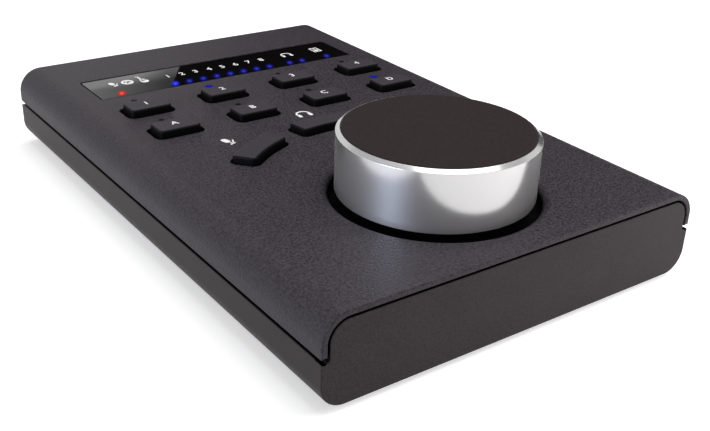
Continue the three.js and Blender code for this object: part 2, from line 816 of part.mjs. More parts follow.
function mainBoard() {
  const length = boardRearY - boardFrontY;
  const plate = box(boardWidth, length, boardBottomZ, boardTopZ, 0, boardMiddleY);
  const sunkZ = boardTopZ - boardThickness / 2;
  const raisedZ = boardBottomZ + boardThickness / 2;
  const chipTopZ = boardTopZ + chipHeight;
  const stripChips = lightXs().map((x) => box(chipWidth, chipLength, sunkZ, chipTopZ, x, lightsY));
  const keyChips = pinRows.flatMap((y) =>
    keyXs.map((x) => box(chipWidth, chipLength, sunkZ, chipTopZ, x, y)),
  );
  const processorBottomZ = boardBottomZ - processorHeight;
  const processorY = boardMiddleY + processorFromMiddle;
  const processor = box(processorSize, processorSize, processorBottomZ, raisedZ, 0, processorY);
  const socketY = boardFrontY + connectorInset + connectorLength / 2;
  const socketBottomZ = boardBottomZ - connectorHeight;
  const socket = box(connectorWidth, connectorLength, socketBottomZ, raisedZ, ribbonFromMiddle, socketY);
  const screwHoles = standoffPlaces.map(([x, y]) =>
    cylinder(boardScrewRadius + holeClearance, boardBottomZ - overrun, boardTopZ + overrun, x, y),
  );
  return cut(join(plate, ...stripChips, ...keyChips, processor, socket), ...screwHoles);
}

function boardStandoff([x, y]) {
  return tube(standoffRadius, boardScrewRadius + threadClearance, boardTopZ, coverUnderZ, x, y);
}

function boardScrew([x, y]) {
  const headBottomZ = boardBottomZ - boardScrewHeadHeight;
  const rounding = boardScrewHeadHeight / 2;
  const shankTopZ = boardBottomZ + boardScrewLength;
  const profile = [
    [0, headBottomZ],
    ...quarterRound(boardScrewHeadRadius - rounding, headBottomZ + rounding, rounding, -Math.PI / 2, 2),
    [boardScrewHeadRadius, boardBottomZ],
    [boardScrewRadius, boardBottomZ],
    [boardScrewRadius, shankTopZ],
    [0, shankTopZ],
  ];
  const body = turn(profile, x, y, smallFacets);
  const socket = cylinder(screwSocketRadius, headBottomZ - overrun, headBottomZ + screwSocketDepth, x, y, 6);
  return cut(body, socket);
}

function encoderBoard() {
  const plate = box(encoderBoardWidth, encoderBoardLength, encoderBoardBottomZ, encoderBoardTopZ, 0, knobY);
  const sunkZ = encoderBoardTopZ - boardThickness / 2;
  const pushSwitch = box(pushSwitchSize, pushSwitchSize, sunkZ, pushSwitchTopZ, 0, knobY);
  const boreRadius = plungerStemRadius + turnClearance;
  const bore = cylinder(boreRadius, encoderBoardTopZ, pushSwitchTopZ + overrun, 0, knobY);
  const socketY = encoderBoardRearY - connectorInset - connectorLength / 2;
  const socketTopZ = encoderBoardTopZ + connectorHeight;
  const socket = box(connectorWidth, connectorLength, sunkZ, socketTopZ, ribbonFromMiddle, socketY);
  return join(cut(join(plate, pushSwitch), bore), socket);
}

// The flat cable leaves the encoder board's socket level and rises to the main board's in one S.
function boardRibbon() {
  const startY = encoderBoardRearY - connectorInset;
  const endY = boardFrontY + connectorInset;
  const startZ = encoderBoardTopZ + connectorHeight / 2;
  const endZ = boardBottomZ - connectorHeight / 2;
  const steps = 12;
  const upper = [];
  const lower = [];
  for (let step = 0; step <= steps; step += 1) {
    const share = step / steps;
    const y = startY + (endY - startY) * share;
    const z = startZ + ((endZ - startZ) * (1 - Math.cos(Math.PI * share))) / 2;
    upper.push(new THREE.Vector2(y, z + ribbonThickness / 2));
    lower.push(new THREE.Vector2(y, z - ribbonThickness / 2));
  }
  const shape = new THREE.Shape([...lower, ...upper.reverse()]);
  return extrudeAlongX(shape, ribbonFromMiddle - ribbonWidth / 2, ribbonFromMiddle + ribbonWidth / 2);
}

// Knob well: a black dish hung under the cover on four studs, which carries the encoder

function knobWell() {
  const outer = wellRadius + wellWall;
  const flangeRadius = wellRadius + wellFlangeWidth;
  const flangeBottomZ = coverUnderZ - wellFlangeThickness;
  const profile = [
    [bushingRadius + threadClearance, wellFloorBottomZ],
    [outer, wellFloorBottomZ],
    [outer, flangeBottomZ],
    [flangeRadius, flangeBottomZ],
    [flangeRadius, coverUnderZ],
    [wellRadius, coverUnderZ],
    [wellRadius, wellFloorTopZ],
    [bushingRadius + threadClearance, wellFloorTopZ],
  ];
  const dish = turn(profile, 0, knobY, largeFacets);
  const ears = studPlaces.map(([x, y]) =>
    cylinder(wellEarRadius, flangeBottomZ, coverUnderZ, x, y, mediumFacets),
  );
  const inside = cylinder(wellRadius, wellFloorTopZ, coverUnderZ + overrun, 0, knobY, largeFacets);
  const studHoles = studPlaces.map(([x, y]) =>
    cylinder(studRadius + holeClearance, wellFloorBottomZ, coverUnderZ + overrun, x, y),
  );
  return cut(join(dish, ...ears), inside, ...studHoles);
}

function wellNut([x, y]) {
  const topZ = coverUnderZ - wellFlangeThickness;
  return hexagonalNut(studNutWidth, studRadius + threadClearance, topZ - studNutHeight, topZ, x, y);
}

// Encoder

function encoderBody() {
  const body = box(encoderSize, encoderSize, encoderBoardTopZ, wellFloorBottomZ, 0, knobY);
  const roofZ = wellFloorBottomZ - encoderRoof;
  const cavity = cylinder(encoderCavityRadius, encoderBoardTopZ - overrun, roofZ, 0, knobY, mediumFacets);
  const shaftHole = cylinder(
    shaftRadius + turnClearance,
    encoderBoardTopZ,
    wellFloorBottomZ + overrun,
    0,
    knobY,
    mediumFacets,
  );
  return cut(body, cavity, shaftHole);
}

function encoderBushing() {
  const bore = shaftRadius + turnClearance;
  return tube(bushingRadius, bore, wellFloorBottomZ, bushingTopZ, 0, knobY, mediumFacets);
}

function encoderWasher() {
  const bore = bushingRadius + threadClearance;
  return tube(washerRadius, bore, wellFloorTopZ, wellFloorTopZ + washerThickness, 0, knobY, mediumFacets);
}

function encoderNut() {
  const bottomZ = wellFloorTopZ + washerThickness;
  const cornerRadius = encoderNutWidth / Math.sqrt(3);
  const body = cylinder(cornerRadius, bottomZ, bottomZ + encoderNutHeight, 0, knobY, 6);
  const bore = cylinder(
    bushingRadius + threadClearance,
    bottomZ - overrun,
    bottomZ + encoderNutHeight + overrun,
    0,
    knobY,
    mediumFacets,
  );
  return cut(body, bore);
}

function encoderPlunger() {
  const stemEndZ = encoderBoardTopZ + pressTravel + runGap;
  const profile = [
    [0, stemEndZ],
    [plungerStemRadius, stemEndZ],
    [plungerStemRadius, plungerBottomZ],
    [plungerRadius, plungerBottomZ],
    [plungerRadius, plungerTopZ],
    [0, plungerTopZ],
  ];
  return turn(profile, 0, knobY, smallFacets);
}

// The shaft has a flat on its upper end, which the grub screw presses on.
function encoderShaft() {
  const topZ = knobPlateZ - runGap;
  const round = cylinder(shaftRadius, shaftBottomZ, topZ, 0, knobY, mediumFacets);
  const width = shaftRadius;
  const flat = box(
    width,
    2 * shaftRadius + overrun,
    hubBottomZ,
    topZ + overrun,
    shaftRadius - shaftFlatDepth + width / 2,
    knobY,
  );
  return cut(round, flat);
}

// The slotted wheel that the encoder reads, fixed near the shaft's lower end.
function encoderWheel() {
  const points = [];
  const step = (2 * Math.PI) / wheelSlotCount;
  for (let slot = 0; slot < wheelSlotCount; slot += 1) {
    const start = slot * step;
    const corners = [
      [wheelRadius, 0],
      [wheelRadius, 1],
      [wheelRadius - wheelSlotDepth, 1],
      [wheelRadius - wheelSlotDepth, 2],
    ];
    for (const [radius, half] of corners) {
      const angle = start + (half * step) / 2;
      points.push(new THREE.Vector2(radius * Math.cos(angle), knobY + radius * Math.sin(angle)));
    }
  }
  const bottomZ = shaftBottomZ + wheelLift;
  const wheel = extrudeUp(new THREE.Shape(points), bottomZ, bottomZ + wheelThickness);
  const bore = cylinder(
    shaftRadius + threadClearance,
    bottomZ - overrun,
    bottomZ + wheelThickness + overrun,
    0,
    knobY,
    mediumFacets,
  );
  return cut(wheel, bore);
}

// Knob: a turned shell, a rubber pad let into its top, and a ribbed hub that grips the shaft

function knobShell() {
  const round = knobFootRounding;
  const profile = [
    [knobInnerRadius, knobBottomZ],
    ...quarterRound(knobRadius - round, knobBottomZ + round, round, -Math.PI / 2, 1),
    [knobRadius, knobTopZ - knobChamferHeight],
    [knobRadius - knobChamferWidth, knobTopZ],
    [recessRadius, knobTopZ],
    [recessRadius, knobTopZ - padRecess],
    [0, knobTopZ - padRecess],
    [0, knobPlateZ],
    [knobInnerRadius, knobPlateZ],
  ];
  // The section meets the axis, so it starts there.
  const start = profile.findIndex(([radius, z]) => radius === 0 && z === knobPlateZ);
  const ordered = [...profile.slice(start), ...profile.slice(0, start)];
  return turn(ordered, 0, knobY, largeFacets);
}

function knobTopPad() {
  const radius = recessRadius - padGap;
  const bottomZ = knobTopZ - padRecess;
  const topZ = knobTopZ + padProud;
  const profile = [
    [0, bottomZ],
    [radius, bottomZ],
    ...quarterRound(radius - padRounding, topZ - padRounding, padRounding, 0, 2),
    [0, topZ],
  ];
  return turn(profile, 0, knobY, largeFacets);
}

function knobHub() {
  const bore = shaftRadius + turnClearance;
  const flangeRadius = knobInnerRadius - threadClearance;
  const profile = [
    [bore, hubBottomZ],
    [hubRadius, hubBottomZ],
    [hubRadius, knobPlateZ - hubFlangeThickness],
    [flangeRadius, knobPlateZ - hubFlangeThickness],
    [flangeRadius, knobPlateZ],
    [bore, knobPlateZ],
  ];
  const body = turn(profile, 0, knobY, mediumFacets);
  const ribTopZ = knobPlateZ - hubFlangeThickness / 2;
  const ribs = [...Array(hubRibCount).keys()].map((n) => ribShape(n, ribTopZ));
  const grubHole = grubCylinder(grubRadius + threadClearance, hubRadius + overrun);
  return cut(join(body, ...ribs), grubHole);
}

// A triangular web from the hub out to the flange's rim.
function ribShape(index, topZ) {
  const inner = (shaftRadius + hubRadius) / 2;
  const outer = knobInnerRadius - knobWall;
  const lowZ = knobPlateZ - hubFlangeThickness - hubRibDrop;
  const shape = new THREE.Shape();
  shape.moveTo(inner, lowZ);
  shape.lineTo(hubRadius, lowZ);
  shape.lineTo(outer, topZ);
  shape.lineTo(inner, topZ);
  const angle = (360 * (index + 0.5)) / hubRibCount;
  return extrudeAlongY(shape, -hubRibThickness / 2, hubRibThickness / 2)
    .rotate([0, 0, angle])
    .translate([0, knobY, 0]);
}

function grubCylinder(radius, endX) {
  const startX = shaftRadius - shaftFlatDepth + turnClearance;
  const geometry = new THREE.CylinderGeometry(radius, radius, endX - startX, smallFacets);
  geometry.rotateZ(-Math.PI / 2);
  geometry.translate((startX + endX) / 2, knobY, hubBottomZ + grubLift);
  return toSolid(geometry);
}

// USB socket, under the board's rear edge

function usbSection(inset) {
  const width = usbWidth - 2 * inset;
  const height = usbHeight - 2 * inset;
  return roundedRectangle(width, height, usbCornerRadius - inset, 0, boardBottomZ - usbHeight / 2);
}

function usbShell() {
  const mouthY = rearY - usbRecess;
  const outside = extrudeAlongY(usbSection(0), mouthY - usbLength, mouthY);
  const inside = extrudeAlongY(usbSection(usbWall), mouthY - usbLength + usbWall, mouthY + overrun);
  return cut(outside, inside);
}

function usbPanelHole() {
  return extrudeAlongY(usbSection(-usbPanelGap), rearY - endPanel - overrun, rearY + overrun);
}

function usbTongue() {
  const backY = rearY - usbRecess - usbLength + usbWall;
  const frontEndY = rearY - usbRecess - usbTongueInset;
  const middleZ = boardBottomZ - usbHeight / 2;
  const length = frontEndY - backY;
  const fromZ = middleZ - usbTongueHeight / 2;
  return box(usbTongueWidth, length, fromZ, fromZ + usbTongueHeight, 0, backY + length / 2);
}

// Finishes

const finishes = {
  coating: { color: 0x3f3c40, roughness: 0.75, metalness: 0.2 },
  panel: { color: 0x3a3838, roughness: 0.5, metalness: 0.25 },
  lens: { color: 0x0c0a0b, roughness: 0.08, metalness: 0 },
  rubber: { color: 0x232224, roughness: 0.9, metalness: 0 },
  padRubber: { color: 0x352f30, roughness: 0.85, metalness: 0 },
  mat: { color: 0x5a5b5d, roughness: 0.9, metalness: 0 },
  aluminium: { color: 0xc9cacd, roughness: 0.3, metalness: 1 },
  steel: { color: 0xa9acb0, roughness: 0.35, metalness: 1 },
  brass: { color: 0xb8964f, roughness: 0.35, metalness: 1 },
  blackSteel: { color: 0x1d1d1f, roughness: 0.5, metalness: 0.8 },
  blackPlastic: { color: 0x121213, roughness: 0.6, metalness: 0 },
  clear: { color: 0xdfe6ea, roughness: 0.15, metalness: 0 },
  board: { color: 0x1c4a33, roughness: 0.6, metalness: 0 },
  ribbon: { color: 0xd9d6cc, roughness: 0.6, metalness: 0 },
};

const remote = new THREE.Group();

function addPiece(name, solid, finish, group = remote) {
  const material = new THREE.MeshStandardMaterial(finishes[finish]);
  const mesh = new THREE.Mesh(toGeometry(solid), material);
  mesh.name = name;
  group.add(mesh);
}

function addRepeated(name, places, make, finish) {
  places.forEach((place, index) => addPiece(`${name}_${index + 1}`, make(place), finish));
}

// Assembly

addPiece("top_cover", topCover(), "coating");
addPiece("base_tray", baseTray(), "panel");
addRepeated("foot", footPlaces, foot, "rubber");
addRepeated("base_screw", pillarPlaces, baseScrew, "blackSteel");
addRepeated("pillar", pillarPlaces, pillar, "brass");

addPiece("display_lens", displayLens(), "lens");
addPiece("strip_light_guide", stripLightGuide(), "clear");

const keyNames = [
  ["key_1", "key_2", "key_3", "key_4"],
  ["key_a", "key_b", "key_c", "key_d"],
];
keyRowYs.forEach((y, row) => {
  keyXs.forEach((x, column) => addPiece(keyNames[row][column], straightKey(x, y), "rubber"));
});
const arcKeyNames = ["key_input", "key_headphones", "key_speakers"];
arcKeyAngles.forEach((angle, index) => addPiece(arcKeyNames[index], arcKey(angle), "rubber"));
addPiece("keypad_mat", keypadMat(), "mat");
addPiece("key_light_guide_rear", keyLightGuide(pinRows[0]), "clear");
addPiece("key_light_guide_front", keyLightGuide(pinRows[1]), "clear");

addPiece("main_board", mainBoard(), "board");
addRepeated("board_standoff", standoffPlaces, boardStandoff, "brass");
addRepeated("board_screw", standoffPlaces, boardScrew, "steel");
addPiece("encoder_board", encoderBoard(), "board");
addPiece("board_ribbon", boardRibbon(), "ribbon");
addPiece("usb_shell", usbShell(), "steel");
addPiece("usb_tongue", usbTongue(), "blackPlastic");

addPiece("knob_well", knobWell(), "blackPlastic");
addRepeated("well_nut", studPlaces, wellNut, "steel");
addPiece("encoder_body", encoderBody(), "blackPlastic");
addPiece("encoder_bushing", encoderBushing(), "brass");
addPiece("encoder_washer", encoderWasher(), "steel");
addPiece("encoder_nut", encoderNut(), "steel");
addPiece("encoder_plunger", encoderPlunger(), "blackPlastic");

const knob = new THREE.Group();
remote.add(knob);
addPiece("encoder_shaft", encoderShaft(), "steel", knob);
addPiece("encoder_wheel", encoderWheel(), "steel", knob);
addPiece("knob_hub", knobHub(), "blackPlastic", knob);
addPiece("knob_grub_screw", grubCylinder(grubRadius, hubRadius), "blackSteel", knob);
addPiece("knob_shell", knobShell(), "aluminium", knob);
addPiece("knob_top_pad", knobTopPad(), "padRubber", knob);

export default remote;
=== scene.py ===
"""Dresses the CAD model of an audio interface's desktop remote control for rendering.

Every size is in metres, in the frame of the CAD model: X to the user's right, Y away, Z up, feet on Z = 0.
"""

import math

import bmesh
import bpy
from bpy.props import FloatProperty, FloatVectorProperty, IntProperty, PointerProperty
from mathutils import Matrix, Vector


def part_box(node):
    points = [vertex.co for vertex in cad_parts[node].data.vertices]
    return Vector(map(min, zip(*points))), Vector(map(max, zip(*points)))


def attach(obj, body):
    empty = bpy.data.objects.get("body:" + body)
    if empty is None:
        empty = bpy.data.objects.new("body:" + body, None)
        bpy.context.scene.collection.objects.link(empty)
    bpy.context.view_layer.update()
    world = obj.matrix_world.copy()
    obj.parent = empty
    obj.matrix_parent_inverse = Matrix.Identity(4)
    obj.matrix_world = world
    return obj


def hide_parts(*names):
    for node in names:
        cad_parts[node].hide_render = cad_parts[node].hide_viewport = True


bl_info = {
    "name": "Desktop Remote Control",
    "version": (1, 0, 0),
    "blender": (4, 5, 0),
    "location": "View3D > Sidebar > Remote",
    "description": "Models and finishes the visible pieces of an audio interface remote control",
    "category": "Object",
}

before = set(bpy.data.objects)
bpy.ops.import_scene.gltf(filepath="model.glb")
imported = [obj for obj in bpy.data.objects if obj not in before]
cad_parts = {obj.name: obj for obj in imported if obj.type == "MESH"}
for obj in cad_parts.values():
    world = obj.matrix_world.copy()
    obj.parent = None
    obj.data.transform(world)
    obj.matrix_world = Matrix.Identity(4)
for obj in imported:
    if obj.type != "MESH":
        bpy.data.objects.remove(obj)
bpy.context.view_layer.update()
MM = 0.001
EPSILON = 1e-6

# Lowest and highest corners of the CAD nodes
COVER_LOW, COVER_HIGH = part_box("top_cover")
TRAY_LOW, TRAY_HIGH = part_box("base_tray")
LENS_LOW, LENS_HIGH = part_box("display_lens")
KNOB_LOW, KNOB_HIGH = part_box("knob_shell")
PAD_LOW, PAD_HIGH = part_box("knob_top_pad")
WELL_LOW, WELL_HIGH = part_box("knob_well")
GUIDE_LOW, GUIDE_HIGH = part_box("strip_light_guide")

COVER_TOP = COVER_HIGH.z
KNOB_CENTRE = (KNOB_LOW + KNOB_HIGH) / 2
STRAIGHT_KEYS = ("key_1", "key_2", "key_3", "key_4", "key_a", "key_b", "key_c", "key_d")
CURVED_KEYS = ("key_input", "key_headphones", "key_speakers")
LIT_KEYS = ("key_2", "key_d")

# Where the window's lights lie from its middle, as shares of its width
LEVELS_AT, LEVEL_PITCH = -0.029, 0.0548
HEADPHONES_AT, SPEAKER_AT, INPUT_AT = 0.2783, 0.4175, -0.4212

SCREW_HOLE = 1.65 * MM
PIN_RISE = 0.06 * MM


def linear(code):
    """Turns an sRGB hex colour into the linear one that Blender's sockets take."""
    channels = [int(code[start : start + 2], 16) / 255 for start in (1, 3, 5)]
    return tuple(c / 12.92 if c <= 0.04045 else ((c + 0.055) / 1.055) ** 2.4 for c in channels)


# Sizes and colours that a user would change


def length(name, size_mm, note):
    return FloatProperty(name=name, description=note, default=size_mm * MM, min=0.0, precision=5, unit="LENGTH")


def angle_of(name, degrees, note):
    return FloatProperty(name=name, description=note, default=math.radians(degrees), subtype="ANGLE")


def strength(name, value, note):
    return FloatProperty(name=name, description=note, default=value, min=0.0)


def colour(name, code, note):
    return FloatVectorProperty(
        name=name, description=note, subtype="COLOR", size=3, min=0.0, max=1.0, default=linear(code)
    )


class RemoteHousing(bpy.types.PropertyGroup):
    sheet: length("Sheet", 1.4, "Thickness of the cover's sheet")
    bend: length("Cover bend", 6.4, "Outer radius of the cover's two long bends")
    tray_bend: length("Tray bend", 5.6, "Outer radius of the tray's two long edges")
    seam: length("Seam", 0.7, "Gap between the cover and the tray along the sides")
    panel_gap: length("Panel gap", 0.5, "Gap between the cover and the end panels")
    end_panel: length("End panel", 2.4, "Thickness of the front and rear panels")
    floor: length("Floor", 1.6, "Thickness of the tray's floor")
    lip: length("Lip", 1.0, "Thickness of the lip inside the cover")
    lip_rise: length("Lip rise", 2.0, "Height of the lip above the seam")
    edge: length("Edge rounding", 0.3, "Rounding of the sheets' cut edges")
    rim: length("Rim rounding", 0.15, "Rounding of the holes' rims in the coating")
    relief: length("Relief radius", 0.85, "Radius of the round notch at each end of a side seam")
    relief_inset: length("Relief inset", 0.7, "Distance of each notch's middle from the side")
    well_radius: length("Well", 25.2, "Inner radius of the dish round the knob")
    hole_lip: length("Hole lip", 0.95, "How far the cover reaches in over the dish")
    hole_round: length("Hole rounding", 2.2, "Radius of the roll round the knob's hole")
    pin_hole: length("Light hole", 0.78, "Radius of the holes for the key lights")
    coating: colour("Cover coating", "#332e34", "Fine-textured coating of the cover")
    panel: colour("Panel coating", "#3b3537", "Smooth satin coating of the tray")


class RemoteKeys(bpy.types.PropertyGroup):
    width: length("Width", 11.4, "Width of a straight key at its foot")
    depth: length("Depth", 6.6, "Depth of a straight key at its foot")
    corner: length("Corner", 1.0, "Radius of a key's upright corners")
    edge: length("Edge", 0.65, "Width of the rounding of a key's top edge")
    edge_drop: length("Edge drop", 0.6, "Height of the rounding of a key's top edge")
    gap: length("Gap", 1.05, "Gap between a key and the cover")
    end_gap: length("End gap", 0.7, "Gap at the ends and the back of a curved key")
    flange_lip: length("Flange lip", 1.5, "How far a key's flange reaches past its cap")
    flange: length("Flange", 1.2, "Thickness of a key's flange")
    run_gap: length("Run gap", 0.3, "Gap between a key's flange and the cover")
    stem: length("Stem", 1.4, "Radius of a key's stem")
    inner: length("Arc inside", 42.85, "Inner radius of the curved keys")
    outer: length("Arc outside", 48.9, "Outer radius of the curved keys")
    span: angle_of("Span", 21.2, "Angle that a curved key covers")
    step: angle_of("Step", 30, "Angle between curved keys")
    rubber: colour("Key", "#3d393f", "Matt skin of the keys")
    legend: colour("Legend", "#f2f2f0", "Printed numerals, letters and pictograms")
    legend_height: length("Legend height", 2.3, "Height of the printed characters")
    print_rise: length("Print rise", 0.02, "Thickness of the print above its surface")


class RemoteWindow(bpy.types.PropertyGroup):
    gap: length("Gap", 0.45, "Gap round the window")
    corner: length("Corner", 0.5, "Radius of the window's corners")
    flange_lip: length("Flange lip", 1.2, "How far the window's flange reaches under the cover")
    flange: length("Flange", 0.9, "Thickness of the window's flange")
    sunk: length("Sunk", 0.0, "How far the window's face lies below its place in the CAD model")
    glow_across: length("Glow across", 1.5, "Half width of the halo round a level light")
    glow_along: length("Glow along", 2.9, "Half length of the halo round a level light")
    key_glow: length("Key glow", 1.6, "Radius of the halo round a key light")
    smoke: colour("Smoke", "#0d0b0c", "Smoked acrylic of the window")
    level: colour("Level light", "#1a1ea8", "Level lights and lit keys")
    input: colour("Input light", "#d82a1e", "Light of the selected input")


class RemoteKnob(bpy.types.PropertyGroup):
    radius: length("Radius", 23.0, "Radius of the knob")
    wall: length("Wall", 2.4, "Thickness of the knob's wall")
    plate: length("Plate", 2.2, "Thickness of the knob's top plate")
    chamfer: length("Chamfer", 1.0, "Width of the bright chamfer")
    chamfer_drop: length("Chamfer drop", 0.72, "Height of the bright chamfer")
    land: length("Land", 0.2, "Flat ring inside the chamfer")
    recess: length("Recess", 1.2, "Depth of the seat of the pad")
    pad_round: length("Pad rounding", 0.35, "Rounding of the pad's edge")
    facets: IntProperty(name="Facets", description="Facets round the knob", default=192, min=48)
    metal: colour("Aluminium", "#cac9c9", "Turned aluminium of the shell")
    pad: colour("Pad", "#2a2223", "Soft pad on top")


class RemoteStage(bpy.types.PropertyGroup):
    paper: colour("Paper", "#ffffff", "Floor and background")
    sky: strength("Sky", 0.46, "Strength of the light from all round")
    softbox: strength("Softbox", 3.9, "Power of the main softbox, in watts")
    lift: strength("Lift", 0.5, "Light added to the paper where it is looked at")


# Small helpers for modelling


def start_clean():
    """Leaves edit mode and deselects everything, because an operator acts on all that is selected."""
    if bpy.context.object and bpy.context.object.mode != "OBJECT":
        bpy.ops.object.mode_set(mode="OBJECT")
    bpy.ops.object.select_all(action="DESELECT")


def pick(piece):
    start_clean()
    piece.select_set(True)
    bpy.context.view_layer.objects.active = piece


def named(name):
    piece = bpy.context.object
    piece.name = name
    piece.data.name = name
    return piece


def settle(piece):
    """Puts the piece's place into its mesh, so the object sits at the origin."""
    pick(piece)
    bpy.ops.object.transform_apply(location=True, rotation=True, scale=True)
    return piece


def middle_of(node):
    low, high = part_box(node)
    return (low + high) / 2


def block(name, width, depth, low, high, x=0.0, y=0.0):
    start_clean()
    bpy.ops.mesh.primitive_cube_add(size=1, location=(x, y, (low + high) / 2))
    piece = named(name)
    piece.scale = (width, depth, high - low)
    return settle(piece)


def rod(name, radius, low, high, middle, facets=32):
    """An upright cylinder round the middle's X and Y."""
    start_clean()
    bpy.ops.mesh.primitive_cylinder_add(
        vertices=facets, radius=radius, depth=high - low, location=(middle[0], middle[1], (low + high) / 2)
    )
    return settle(named(name))


def edit(piece):
    pick(piece)
    bpy.ops.object.mode_set(mode="EDIT")


def leave_edit():
    bpy.ops.object.mode_set(mode="OBJECT")


def choose(piece, kind, test):
    """Selects the faces or edges of a piece in edit mode for which the test holds."""
    bpy.context.tool_settings.mesh_select_mode = (False, kind == "EDGE", kind == "FACE")
    bpy.ops.mesh.select_all(action="DESELECT")
    mesh = bmesh.from_edit_mesh(piece.data)
    mesh.normal_update()
    for part in mesh.edges if kind == "EDGE" else mesh.faces:
        if test(part):
            part.select_set(True)
    mesh.select_flush_mode()
    bmesh.update_edit_mesh(piece.data)


def at_height(z):
    return lambda part: all(abs(v.co.z - z) < EPSILON for v in part.verts)


def faces_up(z, way=1):
    """Level faces at height z that look up, or down where way is -1."""
    return lambda face: face.normal.z * way > 0.99 and abs(face.calc_center_median().z - z) < EPSILON


def upright(edge):
    first, second = (v.co for v in edge.verts)
    return abs(first.x - second.x) < EPSILON and abs(first.y - second.y) < EPSILON


def long_edges(z):
    """Edges at height z that run away from the user."""
    return lambda edge: at_height(z)(edge) and abs(edge.verts[0].co.x - edge.verts[1].co.x) < EPSILON


def bevel_selected(width, segments):
    bpy.ops.mesh.bevel(
        offset=width, offset_type="OFFSET", segments=segments, profile=0.5, affect="EDGES", clamp_overlap=False
    )


def bevel_edges(piece, test, width, segments):
    edit(piece)
    choose(piece, "EDGE", test)
    bevel_selected(width, segments)
    leave_edit()
    return piece


def round_top(piece, z, width, segments):
    """Rounds the rim round the faces at height z that look up."""
    edit(piece)
    choose(piece, "FACE", faces_up(z))
    bpy.ops.mesh.region_to_loop()
    bevel_selected(width, segments)
    leave_edit()


def quarter_turn(steps):
    """Angles of a quarter circle after its start."""
    return [math.pi / 2 * n / steps for n in range(1, steps + 1)]


def crown(piece, top, width, drop):
    """Builds a rounded top edge, a quarter of an ellipse, on the flat top of a piece that ends at top - drop."""
    edit(piece)
    choose(piece, "FACE", faces_up(top - drop))
    across = rise = 0.0
    for turn in quarter_turn(6):
        next_across, next_rise = width * (1 - math.cos(turn)), drop * math.sin(turn)
        bpy.ops.mesh.inset(thickness=next_across - across, depth=next_rise - rise)
        across, rise = next_across, next_rise
    leave_edit()


def extrude_up(rise):
    bpy.ops.mesh.extrude_region_move(TRANSFORM_OT_translate={"value": (0, 0, rise)})


def step_to(radius, next_radius, rise):
    """Extrudes the chosen disc round the knob's axis up by rise, and brings its rim to the next radius."""
    extrude_up(rise)
    scale = next_radius / radius
    bpy.ops.transform.resize(value=(scale, scale, 1.0), center_override=(KNOB_CENTRE.x, KNOB_CENTRE.y, 0.0))
    return next_radius


def apply_modifier(piece, kind, **settings):
    pick(piece)
    modifier = piece.modifiers.new(kind.title(), kind)
    for key, value in settings.items():
        setattr(modifier, key, value)
    bpy.ops.object.modifier_apply(modifier=modifier.name)
    return piece


def combine(piece, other, operation="UNION"):
    """Joins another solid to the piece or cuts it away, and removes the other."""
    apply_modifier(piece, "BOOLEAN", object=other, operation=operation, solver="EXACT")
    bpy.data.objects.remove(other)


def gather(name, pieces):
    """Makes one object of several that don't touch."""
    start_clean()
    for piece in pieces:
        piece.select_set(True)
    bpy.context.view_layer.objects.active = pieces[0]
    bpy.ops.object.join()
    return named(name)


def ease_edges(piece, width):
    limit = {"limit_method": "ANGLE", "angle_limit": math.radians(60)}
    apply_modifier(piece, "BEVEL", width=width, segments=3, use_clamp_overlap=False, **limit)


def smooth(piece, angle=35):
    """Smooths the shading of curves and keeps flat faces flat."""
    pick(piece)
    bpy.ops.object.shade_smooth_by_angle(angle=math.radians(angle))
    return apply_modifier(piece, "WEIGHTED_NORMAL", keep_sharp=True, weight=80)


def coat(piece, material):
    piece.data.materials.clear()
    piece.data.materials.append(material)


def finish_piece(piece, material, body, replaces=()):
    coat(piece, material)
    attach(piece, body)
    if replaces:
        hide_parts(*replaces)


def finish_print(piece, body):
    finish_piece(piece, finish("ink"), body)


# Materials: each recipe adds its nodes to a tree and returns the last shader


def add_node(tree, kind, inputs=(), **settings):
    """Adds a shader node, whose settings are its properties.

    The inputs are a list in the order of its sockets, or a dictionary by their names or numbers. Each is a value, an
    output, or a node whose first output is meant.
    """
    node = tree.nodes.new(f"ShaderNode{kind}")
    for key, value in settings.items():
        setattr(node, key, value)
    for key, value in inputs.items() if isinstance(inputs, dict) else enumerate(inputs):
        if isinstance(value, bpy.types.Node):
            value = value.outputs[0]
        if isinstance(value, bpy.types.NodeSocket):
            tree.links.new(value, node.inputs[key])
        else:
            node.inputs[key].default_value = value
    return node


def new_material(name, recipe, **settings):
    material = bpy.data.materials.new(name)
    material.use_nodes = True
    tree = material.node_tree
    tree.nodes.clear()
    add_node(tree, "OutputMaterial", [recipe(tree, **settings)])
    return material


def rgba(values):
    return (*values[:3], 1.0)


def grain_scale(size_mm):
    """Noise scale at which one grain is about size_mm across."""
    return 1.0 / (size_mm * MM)


def inside_mask(tree, place, zones):
    """One inside any of the zones, else nought.

    Each test of a zone names an axis, where the test is nought and where it is one. Bars mean distance from the middle.
    """
    parts = add_node(tree, "SeparateXYZ", [place])
    either = None
    for zone in zones:
        mask = None
        for axis, nought, one in zone:
            value = parts.outputs[axis.strip("|")]
            if axis.startswith("|"):
                value = add_node(tree, "Math", [value], operation="ABSOLUTE")
            test = add_node(tree, "MapRange", [value, nought, one, 0.0, 1.0])
            mask = test if mask is None else add_node(tree, "Math", [mask, test], operation="MULTIPLY")
        either = mask if either is None else add_node(tree, "Math", [either, mask], operation="MAXIMUM")
    return either


